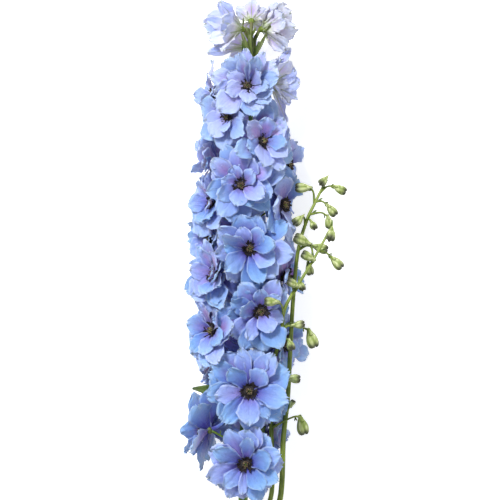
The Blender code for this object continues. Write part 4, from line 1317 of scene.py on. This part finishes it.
# height on the stem, middle, direction and lift, length, half width
leaves = [
    (176, (-31.0, 192.0, 32.0), 178, 0, 26, 5.5),
    (141, (15.5, 152.0, 27.0), 62, -10, 18, 3.6),
    (214, (15.0, 226.0, 45.0), 30, 10, 20, 3.4),
    (467, (1.0, 485.0, 46.5), 104, 14, 15, 2.0),
    (469, (12.0, 485.0, 47.5), 74, 14, 15, 2.0),
]


# How a narrow leaf or bract is shaped, in millimetres and in shares of its length
bladeForm = {
    "parts": (6, 20),
    "bodyFrom": 0.28,
    "bodySpan": 0.74,
    "narrowing": 0.6,
    "midrib": 0.12,
    "leafRootWidth": 0.9,
    "leafFold": 0.14,
    "leafThickness": 0.4,
    "bractRootShare": 0.7,
    "bractFold": 0.35,
    "bractThickness": 0.25,
    "bractBow": 0.12,
}


def pedicelPoints(matrix, rootHeight, count=3):
    end = matrix @ Vector((0.0, 0.0, -bloomForm["coreDepth"] - pedicelForm["seat"] + 0.6))
    behind = matrix @ Vector((0.0, 0.0, -bloomForm["coreDepth"] - pedicelForm["reachBack"]))
    start = stemPlace(rootHeight)
    outwards = Vector((end.x - start.x, 0.0, end.z - start.z)).normalized()
    return bezier(start, start + outwards * 9 + Vector((0, 4, 0)), behind, end, count)


def addBlade(mesh, layers, points, halfWidth, rootWidth, fold, material, tint, thickness):
    # A narrow leaf or bract along the points, folded up a little along its midrib
    form = bladeForm
    verts = addGrid(mesh, *form["parts"])
    for vert in verts:
        across, share = vert.co.x, (vert.co.y + 1.0) / 2.0
        place = smoothPath(points, share)
        before = smoothPath(points, max(0.0, share - 0.03))
        ahead = (smoothPath(points, min(1.0, share + 0.03)) - before).normalized()
        sideways = ahead.cross(Vector((0.0, 0.0, 1.0))).normalized()
        above = sideways.cross(ahead)
        body = math.sin(math.pi * min(1.0, max(0.0, share - form["bodyFrom"]) / form["bodySpan"]))
        width = rootWidth * (1.0 - share * form["narrowing"])
        width += (halfWidth - rootWidth * 0.5) * max(0.0, body)
        width *= 1.0 + 0.04 * math.sin(26 * share + across)
        lift = abs(across) * fold * width + 0.25 * math.sin(9 * share + 2 * across) * abs(across)
        place = place + sideways * (across * width) + above * lift
        vert.co = place * mm + shift
        vert[layers["across"]] = 1.0 - 2.0 * math.exp(-((across / form["midrib"]) ** 2))
        vert[layers["along"]] = share * 0.8
        vert[layers["tint"]] = tint
        for face in vert.link_faces:
            face.material_index = material
    makeSolid(mesh, verts, thickness)


def addBract(mesh, layers, start, direction, length, halfWidth, material):
    form = bladeForm
    direction = direction.normalized()
    bow = Vector((0.0, 0.0, form["bractBow"])) * length
    points = [start - direction * 0.6, start + direction * length * 0.35 + bow,
              start + direction * length * 0.7 + bow, start + direction * length]
    rootWidth = halfWidth * form["bractRootShare"]
    addBlade(mesh, layers, points, halfWidth, rootWidth, form["bractFold"], material, 0.5,
             form["bractThickness"])


def buildStem():
    mesh, layers = newPiece()
    heights = [stem["top"] * i / 24 for i in range(25)]
    path = [stemPlace(height) for height in heights]
    radii = [stemRadius(height) for height in heights]
    addTube(mesh, layers, path, radii, stem["sides"], stem["rings"], stem["ribs"], stem["ribDepth"])
    cut = stemPlace(0.0)
    for face in mesh.faces:
        if len(face.verts) > 4 and (face.calc_center_median() - shift - cut * mm).length < 2 * mm:
            face.material_index = 1
            bmesh.ops.inset_region(mesh, faces=[face], thickness=stem["radius"] * 0.3 * mm, depth=-0.3 * mm)
            break
    form = pedicelForm
    for row in blooms:
        matrix = bloomMatrix(row)
        points = pedicelPoints(matrix, row[1] - form["drop"])
        radii = [form["radius"] * share for share in (1.25, 0.85, 1.1)]
        addTube(mesh, layers, points, radii, form["sides"], form["rings"], ribs=5, ribDepth=0.06)
        outwards = (points[1] - points[0]).normalized()
        foot = points[0] + outwards * (stemRadius(row[1]) * 0.7) - Vector((0.0, 1.6, 0.0))
        direction = outwards + Vector((0.0, 0.7, 0.0))
        addBract(mesh, layers, foot, direction, form["bractLength"], form["bractHalfWidth"], 2)
        spot = smoothPath(points, form["bractletAt"])
        for side in (-1, 1):
            direction = Vector((side * 0.9, 0.5, 0.4)) + (points[2] - points[1]).normalized()
            addBract(mesh, layers, spot, direction, form["bractletLength"], form["bractletHalfWidth"], 2)
    for row in heads:
        matrix = headMatrix(row)
        rootHeight = min(row[1][1] - form["headDrop"], stem["top"] - form["belowTop"])
        points = pedicelPoints(matrix, rootHeight, 4)
        radii = form["headRadii"]
        addTube(mesh, layers, points, radii, form["sides"], form["rings"], ribs=5, ribDepth=0.1, material=3)
        spot = smoothPath(points, form["headBractAt"])
        for side in (-1, 1):
            direction = Vector((side * 0.42, 0.9, 0.3 + 0.2 * side))
            addBract(mesh, layers, spot, direction, form["bractLength"], form["headBractHalfWidth"], 3)
    for start, direction, length, halfWidth in form["tipBracts"]:
        addBract(mesh, layers, Vector(start), Vector(direction), length, halfWidth, 3)
    for height, middle, angle, lift, length, halfWidth in leaves:
        middle, forward = Vector(middle), pageDirection(angle, lift)
        base, tip, start = middle - forward * length / 2, middle + forward * length / 2, stemPlace(height)
        points = bezier(start, start.lerp(base, 0.6), base, tip, 9)
        addBlade(mesh, layers, points, halfWidth * 1.05, bladeForm["leafRootWidth"], bladeForm["leafFold"],
                 2, 0.4, bladeForm["leafThickness"])
    skins = [stemSkin, cutSkin, leafSkin, pedicelSkin]
    finishPiece(mesh, "stem_and_leaves", skins, "main_stem")


buildStem()
print("stem built")


# Side shoots: slim stems with arching stalks and closed buds
# Each bud: height of its stalk's root, middle, direction and lift, length, rise of the stalk
shootA = {
    "name": "side_shoot_a",
    "points": [
        (5.2, 64, 34.7), (8.6, 66, 35.6), (16, 81, 37), (25, 104, 36), (24.6, 160, 32), (25, 190, 34),
        (27, 217, 50), (32.5, 240, 64), (35, 260, 68), (42, 275, 68),
        (54, 294, 65), (64, 311, 62), (75.5, 332, 60),
    ],
    "radii": (2.45, 1.0),
    "buds": [
        (331, (75, 326, 66), 262, 45, 11, 1), (304, (50.8, 320.6, 62), 153, 12, 12, 1),
        (300, (55.8, 306.8, 68), 150, 10, 10, 1), (299, (56.9, 296.6, 57), -75, 0, 9, 1),
        (284, (49.8, 282.2, 66), -65, 40, 8, 1),
        (312, (80, 302, 58), -45, 5, 11, 1), (274, (43, 284, 76), 150, 20, 9, 1),
        (256, (24.5, 269, 84), 178, 5, 10, 1), (244, (47, 249, 70), 10, 20, 9, 1),
        (248, (58.8, 237, 60), -70, 0, 13, 1), (236, (40.5, 232, 73), -70, 50, 9, 1),
        (190, (43, 202, 49), 0, 10, 10, 1), (158, (51, 162, 50), -75, 5, 13, 12),
    ],
}

shootB = {
    "name": "side_shoot_b",
    "points": [
        (5.4, 48, 32.4), (9.2, 50, 33.2), (19, 68, 36), (32.2, 98, 39), (35, 150, 39), (38.8, 186, 40),
        (41, 230, 43), (43.5, 273, 47), (47.5, 312, 48), (55, 338, 47),
        (61.5, 352, 46), (69, 367, 46),
    ],
    "radii": (2.95, 1.1),
    "buds": [
        (366, (69.5, 372, 50), 228, 42, 9, 1), (362, (83, 365, 48), -25, 5, 10, 1),
        (352, (52, 366, 50), 178, 10, 11, 1), (354, (76, 347, 50), -50, 10, 10, 1),
        (343, (74, 337, 42), -80, -5, 9, 1), (333, (47.7, 338.2, 54), 222, 38, 10, 1),
        (338, (60, 334, 56), -60, 45, 8, 1), (312, (66.2, 314.4, 50), -15, 5, 11, 1),
        (170, (42, 180, 45), 60, 15, 6, 1),
    ],
}

budForm = {
    "size": 1.22,
    "widthShare": 0.64,
    "profile": [    # share of the half width, share of the length
        (0.0, 0.0), (0.24, 0.02), (0.44, 0.20), (0.84, 0.46),
        (1.0, 0.70), (0.86, 0.90), (0.50, 0.99), (0.0, 0.97),
    ],
    "sepals": 5,
    "sepalDepth": 0.08,
    "tipLobes": 0.04,
    "neck": 0.10,
    "spurFrom": 0.20,
    "spurShare": 0.36,
    "spurRadii": (0.13, 0.08, 0.03),
    "sides": 25,
    "rings": 18,
}

shootForm = {
    "sides": 16,
    "rings": 110,
    "ribs": 5,
    "ribDepth": 0.06,
    "stalkRadius": 0.86,
    "stalkSides": 8,
    "stalkRings": 20,
    "intoBud": 0.8,
    "bractLength": 6.5,
    "bractHalfWidth": 0.7,
    "bractletAt": 0.7,    # share of the stalk below them
    "bractletLength": 4.0,
    "bractletHalfWidth": 0.55,
}


def addBud(mesh, layers, middle, direction, length, tint):
    form = budForm
    made = bmesh.ops.create_uvsphere(mesh, u_segments=form["sides"], v_segments=form["rings"], radius=1.0)
    place = frameAt(Vector(middle), direction, Vector((0.13, 0.21, 0.97)))
    halfWidth = length * form["widthShare"] / 2
    profile = [Vector((radius, share, 0.0)) for radius, share in form["profile"]]
    for vert in made["verts"]:
        x, y, z = vert.co
        angle = math.atan2(y, x)
        ring = 1.0 - math.acos(max(-1.0, min(1.0, z))) / math.pi
        radius, share = smoothPath(profile, ring)[:2]
        seam = math.cos(form["sepals"] * (angle + 0.5 * share))
        lobes = form["tipLobes"] * seam * max(0.0, share - 0.55) / 0.45
        radius = max(0.0, radius) * halfWidth * (1.0 + form["sepalDepth"] * seam * abs(seam) ** 0.2 + lobes)
        if abs(z) > 0.9999:    # the two ends, where the seams meet
            radius, seam = 0.0, 0.0
        ahead = (share - 0.5 - form["neck"] * (1.0 - share)) * length + lobes * length * 1.2
        vert.co = (place @ Vector((math.cos(angle) * radius, math.sin(angle) * radius, ahead))) * mm + shift
        vert[layers["across"]] = seam
        vert[layers["along"]] = share
        vert[layers["tint"]] = tint
        for face in vert.link_faces:
            face.material_index = 1
    root = place @ Vector((0.0, halfWidth * 0.5, -length * form["spurFrom"]))
    end = place @ Vector((0.0, halfWidth * 0.8, -length * (form["spurFrom"] + form["spurShare"])))
    radii = [length * share for share in form["spurRadii"]]
    path = [root, root.lerp(end, 0.6), end]
    addTube(mesh, layers, path, radii, sides=8, rings=8, material=1, tint=tint)


def alongPath(points, height):    # a place on a list of places where it passes a height
    for a, b in zip(points, points[1:]):
        if a[1] <= height <= b[1]:
            return Vector(a).lerp(Vector(b), (height - a[1]) / (b[1] - a[1]))
    return Vector(points[-1])


def buildShoot(shoot):
    form = shootForm
    mesh, layers = newPiece()
    rng = random.Random(shoot["name"])
    points = shoot["points"]
    addTube(mesh, layers, points, shoot["radii"], form["sides"], form["rings"], form["ribs"],
            form["ribDepth"])
    for height, middle, angle, lift, length, arch in shoot["buds"]:
        direction = pageDirection(angle, lift)
        length *= budForm["size"]
        start = alongPath(points, height)
        back = Vector(middle) - direction * (length / 2 - form["intoBud"])
        rise = start.lerp(back, 0.35) + Vector((0, 3, arch))
        stalk = bezier(start, rise, back - direction * 4, back, 4 if arch > 2 else 3)
        radii = [form["stalkRadius"] * share for share in (1.3, 0.9, 1.15)]
        addTube(mesh, layers, stalk, radii, form["stalkSides"], form["stalkRings"], ribs=4, ribDepth=0.05)
        addBud(mesh, layers, middle, direction, length, rng.random())
        outwards = (stalk[1] - stalk[0]).normalized()
        foot, ahead = stalk[0] + outwards * 0.9, outwards + Vector((0.0, 0.5, 0.0))
        addBract(mesh, layers, foot, ahead, form["bractLength"], form["bractHalfWidth"], 2)
        spot = smoothPath(stalk, form["bractletAt"])
        for side in (-1, 1):
            aside = outwards.cross(Vector((0, 0, 1))) * side + direction * 1.2
            addBract(mesh, layers, spot, aside, form["bractletLength"], form["bractletHalfWidth"], 2)
    name = shoot["name"]
    finishPiece(mesh, "stalks_of_" + name, [shootSkin, budSkin, leafSkin], name)


for shoot in (shootA, shootB):
    buildShoot(shoot)
print("side shoots built")


# The pale floor, soft light and a camera that looks straight down, as in the photograph
studio = {
    "floorSize": 6.0,
    "floorColour": colour(250, 250, 250),
    "floorTint": colour(247, 248, 250),
    "floorGlow": 0.57,
    "skyStrength": 0.36,
    "keyPlace": (-0.6, 1.05, 1.4),
    "keySize": 0.45,
    "keyPower": 36.5,
    "fillPlace": (0.8, -0.5, 1.6),
    "fillSize": 1.2,
    "fillPower": 8.0,
}

view = {
    "lens": 161.0,
    "sensor": 36.0,
    "height": 0.425,
    "middle": (6.1, 312.5, 70.0),
}


def areaLight(name, place, size, power, target):
    light = bpy.data.lights.new(name, "AREA")
    light.shape = "DISK"
    light.size = size
    light.energy = power
    lamp = bpy.data.objects.new(name, light)
    bpy.context.scene.collection.objects.link(lamp)
    lamp.location = place
    lamp.rotation_euler = (target - Vector(place)).to_track_quat("-Z", "Y").to_euler()


def buildStudio():
    mesh = bmesh.new()
    bmesh.ops.create_grid(mesh, x_segments=2, y_segments=2, size=studio["floorSize"] / 2)
    data = bpy.data.meshes.new("floor")
    mesh.to_mesh(data)
    mesh.free()
    floor = bpy.data.objects.new("floor", data)
    bpy.context.scene.collection.objects.link(floor)
    material, tree, shader = newMaterial("floor")
    shade = mixColour(tree, objectNoise(tree, 2.0), studio["floorColour"], studio["floorTint"])
    tree.links.new(shade, shader.inputs["Base Color"])
    setSockets(shader, {
        "Roughness": 0.9,
        "Emission Color": studio["floorColour"],
        "Emission Strength": studio["floorGlow"],
    })
    data.materials.append(material)
    target = shift + Vector(view["middle"]) * mm
    areaLight("key", studio["keyPlace"], studio["keySize"], studio["keyPower"], target)
    areaLight("fill", studio["fillPlace"], studio["fillSize"], studio["fillPower"], target)
    world = bpy.data.worlds.new("studio")
    world.use_nodes = True
    backdrop = world.node_tree.nodes["Background"]
    backdrop.inputs["Color"].default_value = (1.0, 1.0, 1.0, 1.0)
    # The sky is seen white and lights softly
    seen = newNode(world.node_tree, "ShaderNodeLightPath").outputs["Is Camera Ray"]
    strength = smoothStep(world.node_tree, seen, 0.0, 1.0, studio["skyStrength"], 1.0)
    world.node_tree.links.new(strength, backdrop.inputs["Strength"])
    bpy.context.scene.world = world
    bpy.context.scene.view_settings.view_transform = "Standard"


def buildCamera():
    camera = bpy.data.cameras.new("camera")
    camera.lens = view["lens"]
    camera.sensor_width = view["sensor"]
    camera.dof.use_dof = False
    seat = bpy.data.objects.new("camera", camera)
    bpy.context.scene.collection.objects.link(seat)
    distance = view["height"] * view["lens"] / view["sensor"]
    seat.location = shift + Vector(view["middle"]) * mm + Vector((0.0, 0.0, distance))
    bpy.context.scene.camera = seat


buildStudio()
buildCamera()
print("studio built")
